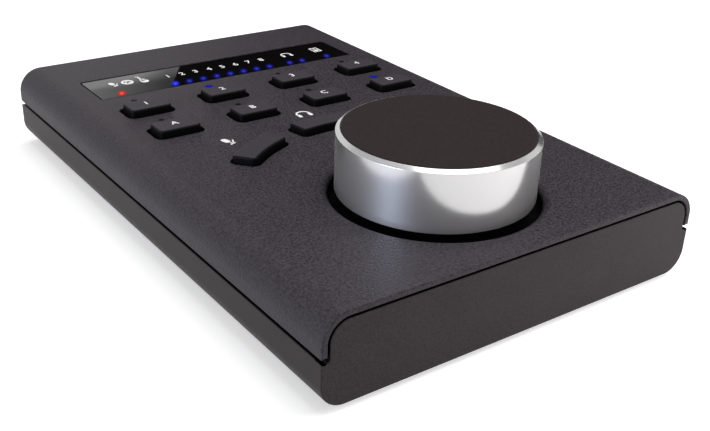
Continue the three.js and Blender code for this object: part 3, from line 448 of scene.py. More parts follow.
def coated_steel(tree, base, grain_mm, bump, roughness, mottle, specular, painted_shade_zones):
    """Polyester powder coat on sheet steel: cured grains, seen as a fine sparkle and a soft sheen at low angles.

    Inside the gaps, seams, hole walls and notches the colour is painted nearly black, as painted shade where shadow
    falls, so seams and holes look dark.
    """
    place = add_node(tree, "TexCoord").outputs["Object"]
    grain = add_node(
        tree, "TexNoise", {"Vector": place, "Scale": grain_scale(grain_mm), "Detail": 2.0, "Roughness": 0.6}
    )
    cloud = add_node(tree, "TexNoise", {"Vector": place, "Scale": grain_scale(7.0), "Detail": 2.0})
    spread = add_node(tree, "MapRange", [grain, 0.32, 0.68, 1.0 - mottle, 1.0 + mottle])
    drift = add_node(tree, "MapRange", [cloud, 0.3, 0.7, 0.95, 1.05])
    shade = add_node(tree, "Math", [spread, drift], operation="MULTIPLY")
    # Painted shade: the colour drops to 3 percent inside the zones, in the gaps, seams, hole walls and notches.
    painted_shading = add_node(tree, "MapRange", [inside_mask(tree, place, painted_shade_zones), 0.0, 1.0, 1.0, 0.03])
    shade = add_node(tree, "Math", [shade, painted_shading], operation="MULTIPLY")
    relief = add_node(tree, "Bump", {"Height": grain, "Strength": bump, "Distance": 0.2 * MM})
    return add_node(
        tree,
        "BsdfPrincipled",
        {
            "Base Color": add_node(tree, "VectorMath", {0: base[:3], 3: shade}, operation="SCALE"),
            "Roughness": add_node(tree, "MapRange", [grain, 0.3, 0.7, roughness - 0.1, roughness + 0.1]),
            "Normal": relief,
            "IOR": 1.5,
            "Specular IOR Level": specular,
        },
    )


def key_rubber(tree, top, side):
    """Silicone rubber key with a matt grey skin on top; faces that tilt away from up are painted near black, as painted
    shade on the key's sides.
    """
    place = add_node(tree, "TexCoord").outputs["Object"]
    grain = add_node(tree, "TexNoise", {"Vector": place, "Scale": grain_scale(0.4), "Detail": 2.0})
    normal = add_node(tree, "NewGeometry").outputs["Normal"]
    up = add_node(tree, "SeparateXYZ", [normal]).outputs["Z"]
    # Painted shade: the colour turns from the top's grey to near black as the face tilts away from up.
    shade_by_facing = add_node(tree, "MapRange", [up, 0.8, 0.98, 0.0, 1.0])
    tint = add_node(tree, "Mix", {0: shade_by_facing, 6: rgba(side), 7: rgba(top)}, data_type="RGBA").outputs[2]
    spread = add_node(tree, "MapRange", [grain, 0.3, 0.7, 0.9, 1.1])
    relief = add_node(tree, "Bump", {"Height": grain, "Strength": 0.4, "Distance": 0.06 * MM})
    return add_node(
        tree,
        "BsdfPrincipled",
        {
            "Base Color": add_node(tree, "VectorMath", {0: tint, 3: spread}, operation="SCALE"),
            "Normal": relief,
            "IOR": 1.41,
            "Roughness": 0.5,
            "Specular IOR Level": 0.12,
        },
    )


def moulded_rubber(tree, base, roughness, grain_mm=0.18, specular=0.5, mottle=0.06):
    """Silicone rubber from a spark-eroded mould: an even matt skin that scatters light and shows dust-fine grain."""
    place = add_node(tree, "TexCoord").outputs["Object"]
    grain = add_node(tree, "TexNoise", {"Vector": place, "Scale": grain_scale(grain_mm), "Detail": 2.0})
    spread = add_node(tree, "MapRange", [grain, 0.3, 0.7, 1.0 - mottle, 1.0 + mottle])
    relief = add_node(tree, "Bump", {"Height": grain, "Strength": 0.25, "Distance": 0.04 * MM})
    return add_node(
        tree,
        "BsdfPrincipled",
        {
            "Base Color": add_node(tree, "VectorMath", {0: base[:3], 3: spread}, operation="SCALE"),
            "Normal": relief,
            "IOR": 1.41,
            "Roughness": roughness,
            "Specular IOR Level": specular,
        },
    )


def turned_metal(tree, base, roughness):
    """Bar turned on a lathe and lapped.

    The lapped skin mirrors the desk softly. The fine lines that run round it smear lamps along the axis as well.
    """
    place = add_node(tree, "TexCoord").outputs["Object"]
    centre = (-KNOB_CENTRE.x, -KNOB_CENTRE.y, 0.0)
    parts = add_node(tree, "SeparateXYZ", [add_node(tree, "Mapping", {"Vector": place, "Location": centre})])
    flat = add_node(tree, "CombineXYZ", [parts.outputs["X"], parts.outputs["Y"]])
    radius = add_node(tree, "VectorMath", [flat], operation="LENGTH").outputs["Value"]
    along = add_node(tree, "CombineXYZ", {"X": radius, "Z": parts.outputs["Z"]})
    lines = add_node(
        tree, "TexNoise", {"Vector": along, "Scale": grain_scale(0.25), "Detail": 4.0, "Roughness": 0.7}
    )
    gloss = add_node(tree, "MapRange", [lines, 0.3, 0.7, roughness - 0.015, roughness + 0.015])
    metal = {"Base Color": rgba(base), "Metallic": 1.0}
    lapped = add_node(tree, "BsdfPrincipled", {**metal, "Roughness": gloss})
    around = add_node(tree, "Tangent", direction_type="RADIAL", axis="Z")
    turning = {"Roughness": 0.55, "Anisotropic": 0.6, "Anisotropic Rotation": 0.25, "Tangent": around}
    lined = add_node(tree, "BsdfPrincipled", {**metal, **turning})
    return add_node(tree, "MixShader", [0.3, lapped, lined])


def plated_steel(tree, base, roughness=0.35):
    """Bright zinc plate: a pale metal whose crystals make the gloss vary from place to place."""
    place = add_node(tree, "TexCoord").outputs["Object"]
    crystals = add_node(tree, "TexNoise", {"Vector": place, "Scale": grain_scale(0.6), "Detail": 3.0})
    gloss = add_node(tree, "MapRange", [crystals, 0.3, 0.7, roughness - 0.1, roughness + 0.1])
    return add_node(tree, "BsdfPrincipled", {"Base Color": rgba(base), "Metallic": 1.0, "Roughness": gloss})


def moulded_plastic(tree, base, roughness, specular=0.5, transmission=0.0):
    """Injection-moulded plastic: a smooth skin with faint flow marks."""
    place = add_node(tree, "TexCoord").outputs["Object"]
    flow = add_node(tree, "TexNoise", {"Vector": place, "Scale": grain_scale(2.5), "Detail": 3.0})
    return add_node(
        tree,
        "BsdfPrincipled",
        {
            "Base Color": rgba(base),
            "Roughness": add_node(tree, "MapRange", [flow, 0.3, 0.7, roughness * 0.85, roughness * 1.15]),
            "IOR": 1.49,
            "Specular IOR Level": specular,
            "Transmission Weight": transmission,
        },
    )


def circuit_laminate(tree):
    """Glass-fibre laminate under green solder resist: the weave shows faintly, and the resist is glossy."""
    place = add_node(tree, "TexCoord").outputs["Object"]
    shades = {"Color1": rgba(linear("#174a30")), "Color2": rgba(linear("#1c5638"))}
    weave = add_node(tree, "TexChecker", {"Vector": place, "Scale": grain_scale(0.5), **shades})
    return add_node(tree, "BsdfPrincipled", {"Base Color": weave, "Roughness": 0.35, "IOR": 1.5})


def silkscreen_ink(tree, base):
    """Epoxy silkscreen ink: a thin opaque print with slightly uneven cover."""
    place = add_node(tree, "TexCoord").outputs["Object"]
    cover = add_node(tree, "TexNoise", {"Vector": place, "Scale": grain_scale(0.3), "Detail": 2.0})
    spread = add_node(tree, "MapRange", [cover, 0.3, 0.7, 0.93, 1.0])
    tint = add_node(tree, "VectorMath", {0: base[:3], 3: spread}, operation="SCALE")
    return add_node(tree, "BsdfPrincipled", {"Base Color": tint, "Roughness": 0.55, "IOR": 1.5})


def lamp_glow(tree, base, heart, core, power):
    """Light that spreads in the window from a lamp under it: a pale heart, and a halo that fades to nothing."""
    place = add_node(tree, "UVMap", uv_map="UVMap")
    centred = add_node(tree, "Mapping", {"Vector": place, "Location": (-0.5, -0.5, 0.0)})
    reach = add_node(tree, "VectorMath", [centred], operation="LENGTH").outputs["Value"]
    fade = add_node(tree, "MapRange", [reach, core * 0.5, 0.5, 1.0, 0.0], interpolation_type="SMOOTHSTEP")
    outwards = add_node(tree, "MapRange", [reach, 0.0, 0.3, 0.0, 1.0])
    tint = add_node(tree, "Mix", {0: outwards, 6: rgba(heart), 7: rgba(base)}, data_type="RGBA").outputs[2]
    lamp = add_node(tree, "Emission", {"Color": tint, "Strength": power})
    return add_node(tree, "MixShader", [fade, add_node(tree, "BsdfTransparent"), lamp])


def relief_zone(housing, end):
    """The inside of the notches that end the side seams."""
    seam_z = COVER_LOW.z - housing.seam / 2
    reach = housing.relief + 0.05 * MM
    start = COVER_HIGH.x - housing.relief_inset - reach
    return (
        ("|X|", COVER_HIGH.x - 0.1 * MM, COVER_HIGH.x - 0.14 * MM),
        ("|X|", start, start + 0.04 * MM),
        ("|Y|", end - 0.1 * MM, end - 0.14 * MM),
        ("Z", seam_z - reach, seam_z - reach + 0.04 * MM),
        ("Z", seam_z + reach, seam_z + reach - 0.04 * MM),
    )


def primed_cover(housing):
    """Zones of painted shade on the cover: walls of the holes round the keys and the window, the sheet's lower edge,
    and the notches.
    """
    across = ("|X|", LENS_HIGH.x + 2 * MM, LENS_HIGH.x + 1.9 * MM)
    along = ("|Y|", COVER_HIGH.y - 0.5 * MM, COVER_HIGH.y - 0.6 * MM)
    behind_knob = ("Y", KNOB_HIGH.y + 5 * MM, KNOB_HIGH.y + 5.1 * MM)
    return [
        (across, behind_knob, along, ("Z", COVER_TOP - 0.2 * MM, COVER_TOP - 0.4 * MM)),
        (across, along, ("Z", COVER_TOP - 0.4 * MM, COVER_TOP - 1.2 * MM)),
        (
            ("|X|", COVER_HIGH.x - 0.1 * MM, COVER_HIGH.x - 0.14 * MM),
            ("Z", COVER_LOW.z + 0.07 * MM, COVER_LOW.z + 0.03 * MM),
        ),
        relief_zone(housing, COVER_HIGH.y),
    ]


def primed_tray(housing):
    """Zones of painted shade on the tray: above the seam, where the cover hides it, and the notches."""
    seam_low = COVER_LOW.z - housing.seam
    hidden = (
        ("|X|", COVER_HIGH.x - 0.1 * MM, COVER_HIGH.x - 0.14 * MM),
        ("|Y|", TRAY_HIGH.y - 0.14 * MM, TRAY_HIGH.y - 0.18 * MM),
        ("Z", seam_low - 0.05 * MM, seam_low - 0.01 * MM),
    )
    return [hidden, relief_zone(housing, TRAY_HIGH.y)]


def recipes():
    """Each finish's material name, recipe and settings, with the colours of the panel."""
    scene = bpy.context.scene
    housing, keys = scene.remote_housing, scene.remote_keys
    window, knob = scene.remote_window, scene.remote_knob
    # The coat's real grain is about 0.2 mm, drawn three times as coarse so that it shows in a picture of this size
    # The last zones of each coat paint shade: near black in its gaps, seams, hole walls and notches.
    cover = dict(grain_mm=0.6, bump=0.9, roughness=0.5, mottle=0.65, specular=0.21, painted_shade_zones=primed_cover(housing))
    tray = dict(grain_mm=0.5, bump=0.06, roughness=0.46, mottle=0.3, specular=0.1, painted_shade_zones=primed_tray(housing))
    pad = dict(roughness=0.7, grain_mm=0.45, specular=0.15, mottle=0.22)
    first = dict(base=linear("#2530e0"), heart=linear("#4056ff"), core=0.15, power=1.0)
    level = dict(base=window.level, heart=linear("#3f4ab4"), core=0.0, power=0.85)
    chosen = dict(base=window.input, heart=linear("#ff6a5e"), core=0.2, power=1.0)
    key_lamp = dict(base=window.level, heart=linear("#1c2cb0"), core=0.3, power=0.9)
    smoked = dict(base=window.smoke, roughness=0.025, specular=0.57)
    clear = dict(base=linear("#e8eef0"), roughness=0.1, transmission=0.85)
    return {
        "cover": ("textured_powder_coat", coated_steel, dict(base=housing.coating, **cover)),
        "tray": ("smooth_powder_coat", coated_steel, dict(base=housing.panel, **tray)),
        # The near-black side colour of the keys is painted shade.
        "key": ("key_silicone", key_rubber, dict(top=keys.rubber, side=linear("#040304"))),
        "pad": ("pad_silicone", moulded_rubber, dict(base=knob.pad, **pad)),
        "foot": ("foot_rubber", moulded_rubber, dict(base=linear("#1d1c1d"), roughness=0.8)),
        "mat": ("mat_silicone", moulded_rubber, dict(base=linear("#6a6b6d"), roughness=0.6)),
        "knob": ("turned_aluminium", turned_metal, dict(base=knob.metal, roughness=0.16)),
        "shaft": ("turned_steel", turned_metal, dict(base=linear("#b4b6b9"), roughness=0.28)),
        "steel": ("zinc_plated_steel", plated_steel, dict(base=linear("#b6b9bd"))),
        "brass": ("free_cutting_brass", plated_steel, dict(base=linear("#c8a45a"), roughness=0.3)),
        "black_steel": ("blackened_steel", plated_steel, dict(base=linear("#2a2a2c"), roughness=0.45)),
        "window": ("smoked_acrylic", moulded_plastic, smoked),
        "clear": ("clear_acrylic", moulded_plastic, clear),
        # The dish is black plastic, and its colour is pushed darker than plastic as painted shade in the gap round the
        # knob.
        "well": ("black_abs_with_painted_shade", moulded_plastic, dict(base=linear("#030303"), roughness=0.9, specular=0.1)),
        "dark": ("black_nylon", moulded_plastic, dict(base=linear("#18181a"), roughness=0.5)),
        "ribbon": ("polyester_ribbon", moulded_plastic, dict(base=linear("#d8d5cb"), roughness=0.45)),
        "unlit": ("unlit_pin", moulded_plastic, dict(base=linear("#050405"), roughness=0.4, specular=0.1)),
        "board": ("solder_resist", circuit_laminate, {}),
        "ink": ("white_ink", silkscreen_ink, dict(base=keys.legend)),
        "first_level": ("first_level_lamp", lamp_glow, first),
        "level": ("level_lamp", lamp_glow, level),
        "input": ("input_lamp", lamp_glow, chosen),
        "key_lamp": ("key_lamp", lamp_glow, key_lamp),
    }


FINISHES = {}


def finish(key):
    """Makes each finish once, when it is first asked for."""
    if key not in FINISHES:
        name, recipe, settings = recipes()[key]
        FINISHES[key] = new_material(name, recipe, **settings)
    return FINISHES[key]


# Printed characters and pictograms: flat shapes that are made into thin solids


def thin_print(piece, z, rise):
    """Gives flat artwork at height zero its thickness and its place on the surface at z."""
    piece.location.z = z
    settle(piece)
    edit(piece)
    choose(piece, "FACE", lambda face: face.normal.z < 0)
    bpy.ops.mesh.flip_normals()
    leave_edit()
    return apply_modifier(piece, "SOLIDIFY", thickness=rise, offset=1.0)


def character(name, text, height, x, y, z, rise):
    start_clean()
    bpy.ops.object.text_add(location=(0, 0, 0))
    letters = bpy.context.object.data
    letters.body = text
    letters.align_x = "CENTER"
    letters.align_y = "CENTER"
    letters.size = height / 0.7
    letters.offset = 0.03 * height
    letters.resolution_u = 6
    bpy.ops.object.convert(target="MESH")
    piece = named(name)
    piece.location = (x, y, 0)
    settle(piece)
    edit(piece)
    bpy.ops.mesh.select_all(action="SELECT")
    bpy.ops.mesh.remove_doubles(threshold=EPSILON)
    leave_edit()
    return thin_print(piece, z, rise)


def disc(name, radius, x, y, facets=24, z=0.0):
    start_clean()
    bpy.ops.mesh.primitive_circle_add(vertices=facets, radius=radius, fill_type="NGON", location=(x, y, z))
    return settle(named(name))


def bar(name, width, depth, x, y, degrees=0.0):
    start_clean()
    bpy.ops.mesh.primitive_plane_add(size=1, location=(x, y, 0))
    piece = named(name)
    piece.scale = (width, depth, 1)
    piece.rotation_euler.z = math.radians(degrees)
    return settle(piece)


def outline(name, points):
    """A flat piece with the given corners, from a disc whose corners are moved."""
    start_clean()
    bpy.ops.mesh.primitive_circle_add(vertices=len(points), radius=1.0, fill_type="NGON")
    piece = named(name)
    for vertex, (x, y) in zip(piece.data.vertices, points):
        vertex.co = (x, y, 0.0)
    return settle(piece)


def arc_band(name, radius, width, start, end, steps=16):
    """A flat band along a circle round the middle."""
    angles = [math.radians(start + (end - start) * n / steps) for n in range(steps + 1)]
    points = []
    for rim, order in ((radius + width / 2, angles), (radius - width / 2, reversed(angles))):
        points += [(rim * math.cos(a), rim * math.sin(a)) for a in order]
    return outline(name, points)


def pill(name, width, height, x, y, steps=8):
    """A flat bar with round ends that is taller than it is wide."""
    radius, reach = width / 2, (height - width) / 2
    points = []
    for side, start in ((1, 0.0), (-1, math.pi)):
        for n in range(steps + 1):
            a = start + math.pi * n / steps
            points.append((x + radius * math.cos(a), y + side * reach + radius * math.sin(a)))
    return outline(name, points)


# Each pictogram's height in its own units, and its flat shapes
PICTOGRAMS = {
    # A microphone's capsule over its stand, crossed by a short stroke
    "microphone": (
        6.0,
        [
            (pill, 2.3, 3.8, 0, 1.0),
            (bar, 0.6, 1.3, 0, -1.75),
            (bar, 2.4, 0.6, 0, -2.6),
            (bar, 2.6, 0.55, 1.5, -1.1, 50),
        ],
    ),
    # A headband with an ear pad at each end
    "headphones": (5.0, [(arc_band, 2.0, 0.6, 0, 180), (pill, 1.1, 2.2, -1.75, -0.9), (pill, 1.1, 2.2, 1.75, -0.9)]),
    # A cabinet drawn as a frame, with its two drive units
    "loudspeaker": (
        4.4,
        [
            *((bar, 3.2, 0.45, 0, side * 1.95) for side in (1, -1)),
            *((bar, 0.45, 3.45, side * 1.38, 0) for side in (-1, 1)),
            (disc, 0.85, 0, -0.65),
            (disc, 0.45, 0, 1.0),
        ],
    ),
    # A round input socket with its three pins
    "round_input": (
        4.0,
        [
            (arc_band, 1.6, 0.8, 0, 359.0, 32),
            *((disc, 0.42, 0.7 * math.cos(a), 0.8 * math.sin(a), 12) for a in map(math.radians, (90, 210, 330))),
        ],
    ),
    # A guitar's body, neck and head
    "guitar": (5.0, [(disc, 1.15, 0, -1.6), (disc, 0.85, 0, -0.4), (bar, 0.5, 2.8, 0, 1.4), (bar, 0.9, 0.7, 0, 2.6)]),
}


def pictogram(place, kind, size, x, y, z, rise, tilt=0.0):
    """Prints a pictogram that is size high on the surface at z."""
    units, shapes = PICTOGRAMS[kind]
    name = f"{place}_{kind}"
    piece = gather(name, [shape(name, *numbers) for shape, *numbers in shapes])
    piece.scale = [size / units] * 3
    piece.location = (x, y, 0)
    piece.rotation_euler.z = math.radians(tilt)
    finish_print(thin_print(settle(piece), z, rise), "housing")


# Materials of the stage


def looked_at(tree):
    """One for the camera and for what mirrors or transmits the background."""
    path = add_node(tree, "LightPath")
    either = path.outputs["Is Camera Ray"]
    for kind in ("Is Glossy Ray", "Is Transmission Ray"):
        either = add_node(tree, "Math", [either, path.outputs[kind]], operation="MAXIMUM")
    return either


def white_paper(tree, tone, lift):
    """Seamless paper: bright where it is looked at, and duller where it only lights the object."""
    paper = add_node(tree, "BsdfDiffuse", [(0.8, 0.8, 0.8, 1.0)])
    shaded = add_node(tree, "BsdfDiffuse", [(0.35, 0.35, 0.35, 1.0)])
    bright = add_node(tree, "AddShader", [paper, add_node(tree, "Emission", [rgba(tone), lift])])
    return add_node(tree, "MixShader", [looked_at(tree), shaded, bright])


def black_felt(tree):
    return add_node(tree, "BsdfDiffuse", [(0.003, 0.003, 0.003, 1.0)])


def grey_felt(tree):
    """Grey card whose glow is painted light, as from the backdrop, which falls off towards the black card and upwards.
    """
    place = add_node(tree, "TexCoord").outputs["Object"]
    turn = (0.0, 0.0, math.radians(45))
    parts = add_node(tree, "SeparateXYZ", [add_node(tree, "Mapping", {"Vector": place, "Rotation": turn})])
    side = parts.outputs["X"]
    along = add_node(tree, "MapRange", [side, -0.285, -0.222, 2.0, 0.5])
    slope = add_node(tree, "Math", [side, 0.235], operation="MULTIPLY")
    level = add_node(tree, "Math", [parts.outputs["Z"], slope], operation="ADD")
    rise = add_node(tree, "MapRange", [level, 0.1375, 0.1463, 1.0, 0.33])
    bright = add_node(tree, "Math", [along, rise], operation="MULTIPLY")
    return add_node(tree, "Emission", {"Strength": add_node(tree, "Math", [bright, 1.1], operation="MINIMUM")})


# Operators, one for each piece or group of like pieces


class REMOTE_OT_stage(bpy.types.Operator):
    """Sets the paper, the lights and the camera"""

    bl_idname = "remote.stage"
    bl_label = "Stage"

    def execute(self, context):
        stage = context.scene.remote_stage
        start_clean()
        bpy.ops.mesh.primitive_plane_add(size=6.0, location=(0, 0, 0))
        floor = named("paper_floor")
        coat(floor, new_material("white_paper", white_paper, tone=stage.paper, lift=stage.lift))
        self.cards()
        self.world(context, stage)
        self.lamps(context, stage)
        self.camera(context)
        context.scene.view_settings.view_transform = "Standard"
        return {"FINISHED"}

    def cards(self):
        """Two cards behind the desk, seen only in reflections: a black one keeps most of the window dark."""
        right, top = 0.34, 0.42
        edge_low, edge_high = -0.1444, -0.2969
        black = ((edge_low, 0.0), (right, 0.0), (edge_high, top), (right, top))
        grey = ((-0.36, 0.17), (-0.14, 0.17), (-0.36, 0.24), (-0.14, 0.24))
        self.card("black_card", black, 0.5, new_material("black_felt", black_felt))
        self.card("grey_card", grey, 0.501, new_material("grey_felt", grey_felt))

    def card(self, name, corners, away, material):
        """A card across the camera's view, with its corners given by side and height."""
        start_clean()
        bpy.ops.mesh.primitive_plane_add(size=1.0, location=(0.0, 0.0, 0.0))
        card = named(name)
        across, ahead = Vector((0.7071, -0.7071, 0)), Vector((0.7071, 0.7071, 0))
        for vertex, (side, height) in zip(card.data.vertices, corners):
            vertex.co = ahead * away + across * side + Vector((0, 0, height))
        coat(card, material)
        for ray in ("camera", "diffuse", "transmission", "shadow"):
            setattr(card, f"visible_{ray}", False)

    def world(self, context, stage):
        """White where it is looked at, with a greyer ceiling, and a soft light from all round."""
        world = bpy.data.worlds.new("studio_white")
        context.scene.world = world
        world.use_nodes = True
        tree = world.node_tree
        tree.nodes.clear()
        ambient = add_node(tree, "Background", [(0.98, 0.985, 1.0, 1.0), stage.sky])
        parts = add_node(tree, "SeparateXYZ", [add_node(tree, "TexCoord").outputs["Generated"]])
        ceiling = add_node(tree, "MapRange", [parts.outputs["Z"], 0.5, 0.62, 1.0, 0.6])
        white = add_node(tree, "Background", [(1.0, 1.0, 1.0, 1.0), ceiling])
        add_node(tree, "OutputWorld", [add_node(tree, "MixShader", [looked_at(tree), ambient, white])])

    def lamps(self, context, stage):
        """Square lamps that look at the middle: name, place, size, share of the softbox's power, and tint."""
        for name, spot, size, share, tint in (
            ("overhead_softbox", (0.15, -0.03, 0.75), 0.66, 1.0, (1.0, 0.99, 0.98)),
            ("left_softbox", (-0.75, -0.02, 0.15), 0.4, 0.32, (0.84, 0.9, 1.0)),
            ("left_glint", (-0.72, -0.08, 0.2), 0.3, 0.85, (0.62, 0.73, 1.0)),
            ("right_fill", (0.22, -0.2, 0.1), 0.1, 0.11, (1.0, 0.97, 0.95)),
        ):
            lamp = bpy.data.lights.new(name, "AREA")
            lamp.shape = "SQUARE"
            lamp.size = size
            lamp.energy = stage.softbox * share
            lamp.color = tint
            holder = bpy.data.objects.new(name, lamp)
            holder.location = spot
            holder.rotation_euler = Vector(spot).to_track_quat("Z", "Y").to_euler()
            holder.visible_glossy = name != "right_fill"
            holder.visible_diffuse = name != "left_glint"
            context.collection.objects.link(holder)

    def camera(self, context):
        # Solved from the photograph: turned 36.70 degrees, 26.51 down, rolled 2.23, with a 52 mm lens
        turn, down, roll = 0.64049274, 0.46273391, 0.03890253
        place = (-0.139587, -0.207684, 0.120410)
        focal_px, middle_px, width, height = 1025.4625, (362.6297, 215.8586), 710.0, 431.0
        ahead = Vector((math.sin(turn) * math.cos(down), math.cos(turn) * math.cos(down), -math.sin(down)))
        level = ahead.cross(Vector((0, 0, 1))).normalized()
        above = level.cross(ahead)
        right = level * math.cos(roll) + above * math.sin(roll)
        up = above * math.cos(roll) - level * math.sin(roll)
        lens = bpy.data.cameras.new("camera")
        lens.sensor_width = 36.0
        lens.lens = focal_px * lens.sensor_width / width
        lens.shift_x = (width / 2 - middle_px[0]) / width
        lens.shift_y = (middle_px[1] - height / 2) / width
        lens.clip_start = 0.01
        camera = bpy.data.objects.new("camera", lens)
        context.collection.objects.link(camera)
        camera.matrix_world = Matrix.Translation(place) @ Matrix((right, up, -ahead)).transposed().to_4x4()
        context.scene.camera = camera


class REMOTE_OT_cover(bpy.types.Operator):
    """Bends the top cover from one sheet and cuts its holes"""

    bl_idname = "remote.cover"
    bl_label = "Top cover"

    def execute(self, context):
        scene = context.scene
        housing = scene.remote_housing
        size = COVER_HIGH - COVER_LOW
        cover = block("top_cover_sheet", size.x, size.y, COVER_LOW.z, COVER_TOP)
        edit(cover)
        choose(cover, "FACE", lambda f: f.normal.z < -0.9 or abs(f.normal.y) > 0.9)
        bpy.ops.mesh.delete(type="ONLY_FACE")
        choose(cover, "EDGE", long_edges(COVER_TOP))
        bevel_selected(housing.bend, 16)
        leave_edit()
        apply_modifier(cover, "SOLIDIFY", thickness=housing.sheet, offset=-1.0, use_even_offset=True)
        ease_edges(cover, housing.edge)
        for cutter in self.cutters(housing, scene.remote_keys, scene.remote_window):
            combine(cover, cutter, "DIFFERENCE")
        self.soften_rims(cover, housing)
        under = COVER_TOP - housing.sheet
        for n in range(1, 5):
            stud = rod("stud", 1.5 * MM, under - 4.2 * MM, under + housing.sheet / 2, middle_of(f"well_nut_{n}"), 20)
            combine(cover, stud)
        smooth(cover)
        finish_piece(cover, finish("cover"), "housing", ["top_cover"])
        return {"FINISHED"}

    def cutters(self, housing, keys, window):
        below, above = COVER_TOP - 2.5 * housing.sheet, COVER_TOP + housing.sheet
        rim = window.flange_lip - window.gap
        width, depth = LENS_HIGH.x - LENS_LOW.x - 2 * rim, LENS_HIGH.y - LENS_LOW.y - 2 * rim
        hole = block("cut_window", width, depth, below, above, y=(LENS_LOW.y + LENS_HIGH.y) / 2)
        yield bevel_edges(hole, upright, window.corner + window.gap, 4)
        width, depth = keys.width + 2 * keys.gap, keys.depth + 2 * keys.gap
        for name in STRAIGHT_KEYS:
            middle = middle_of(name)
            hole = block("cut_key", width, depth, below, above, middle.x, middle.y)
            yield bevel_edges(hole, upright, keys.corner + keys.gap, 5)
        for index in range(len(CURVED_KEYS)):
            yield arc_block("cut_arc", keys, index, keys.gap, keys.end_gap, below, above)
        for place in key_lights():
            yield rod("cut_pin", housing.pin_hole, below, above, place, 24)
        yield self.knob_cutter(housing, below, above)
        yield from relief_cutters(housing)

    def knob_cutter(self, housing, below, above):
        """A rod whose top flares out by a quarter round, which leaves the sheet rolled in round the knob."""
        wall, roll = housing.well_radius - housing.hole_lip, housing.hole_round
        # The flare ends just above the sheet, or its widest ring would leave a line on the flat
        start = COVER_TOP + 0.01 * MM - roll
        cutter = rod("cut_well", wall, below, start, KNOB_CENTRE, 160)
        edit(cutter)
        choose(cutter, "FACE", faces_up(start))
        radius, rise = wall, 0.0
        for turn in quarter_turn(18):
            next_rise = roll * math.sin(turn)
            radius = step_to(radius, wall + roll * (1 - math.cos(turn)), next_rise - rise)
            rise = next_rise
        extrude_up(above - COVER_TOP)
        leave_edit()
        return cutter

    def soften_rims(self, cover, housing):
        """Rounds the rims of the holes in the flat top, as the coating does."""
        flat, end = at_height(COVER_TOP), COVER_HIGH.y - 2 * housing.edge

        def is_rim(edge):
            if not flat(edge) or len(edge.link_faces) != 2 or abs(edge.verts[0].co.y) >= end:
                return False
            return min(face.normal.z for face in edge.link_faces) < 0.5

        bevel_edges(cover, is_rim, housing.rim, 2)


def relief_cutters(housing):
    """The round notches that end the side seams."""
    reach = housing.end_panel + housing.sheet
    x, y = COVER_HIGH.x - housing.relief_inset, COVER_HIGH.y + housing.sheet - reach / 2
    for x_side in (-1, 1):
        for y_side in (-1, 1):
            start_clean()
            bpy.ops.mesh.primitive_cylinder_add(
                vertices=32,
                radius=housing.relief,
                depth=reach,
                location=(x_side * x, y_side * y, COVER_LOW.z - housing.seam / 2),
                rotation=(math.pi / 2, 0, 0),
            )
            yield settle(named("cut_relief"))


def flange_bottom():
    """Height of the underside of the keys' flanges, which rest under the cover."""
    housing, keys = bpy.context.scene.remote_housing, bpy.context.scene.remote_keys
    return COVER_TOP - housing.sheet - keys.run_gap - keys.flange


def key_lights():
    """Where the eight key lights come up, behind their keys."""
    guides = ["key_light_guide_rear"] * 4 + ["key_light_guide_front"] * 4
    return [(middle_of(key).x, middle_of(guide).y) for key, guide in zip(STRAIGHT_KEYS, guides)]


def arc_outline(keys, index, grow, ends, arc_steps=24, corner_steps=6):
    """Corners of a sector of a ring round the knob, with rounded corners, for a curved key or its hole."""
    middle = math.pi / 2 + (1 - index) * keys.step
    turn_radius = keys.corner + grow
    points = []

    def place(radius, angle):
        points.append((KNOB_CENTRE.x + radius * math.cos(angle), KNOB_CENTRE.y + radius * math.sin(angle)))

    def corner(edge, inwards, side):
        """The turn from the end face on to the arc, from the middle of its own circle."""
        centre = edge + inwards * turn_radius
        reach = keys.span / 2 + (ends - turn_radius) / centre
        turns = [0.0, *quarter_turn(corner_steps)]
        for turn in turns if side * inwards > 0 else reversed(turns):
            radius = centre - inwards * turn_radius * math.sin(turn)
            place(radius, middle + side * (reach + turn_radius * math.cos(turn) / centre))
        return reach

    for edge, inwards in ((keys.outer + min(grow, ends), -1), (keys.inner - grow, 1)):
        reach = corner(edge, inwards, inwards)
        for n in range(1, arc_steps):
            place(edge, middle + inwards * reach * (1 - 2 * n / arc_steps))
        corner(edge, inwards, -inwards)
    return points


def arc_block(name, keys, index, grow, ends, low, high):
    """A block bent round the knob, for a curved key or its hole."""
    piece = outline(name, arc_outline(keys, index, grow, ends))
    piece.location.z = low
    settle(piece)
    edit(piece)
    bpy.ops.mesh.select_all(action="SELECT")
    extrude_up(high - low)
    bpy.ops.mesh.select_all(action="SELECT")
    bpy.ops.mesh.normals_make_consistent(inside=False)
    leave_edit()
    return piece


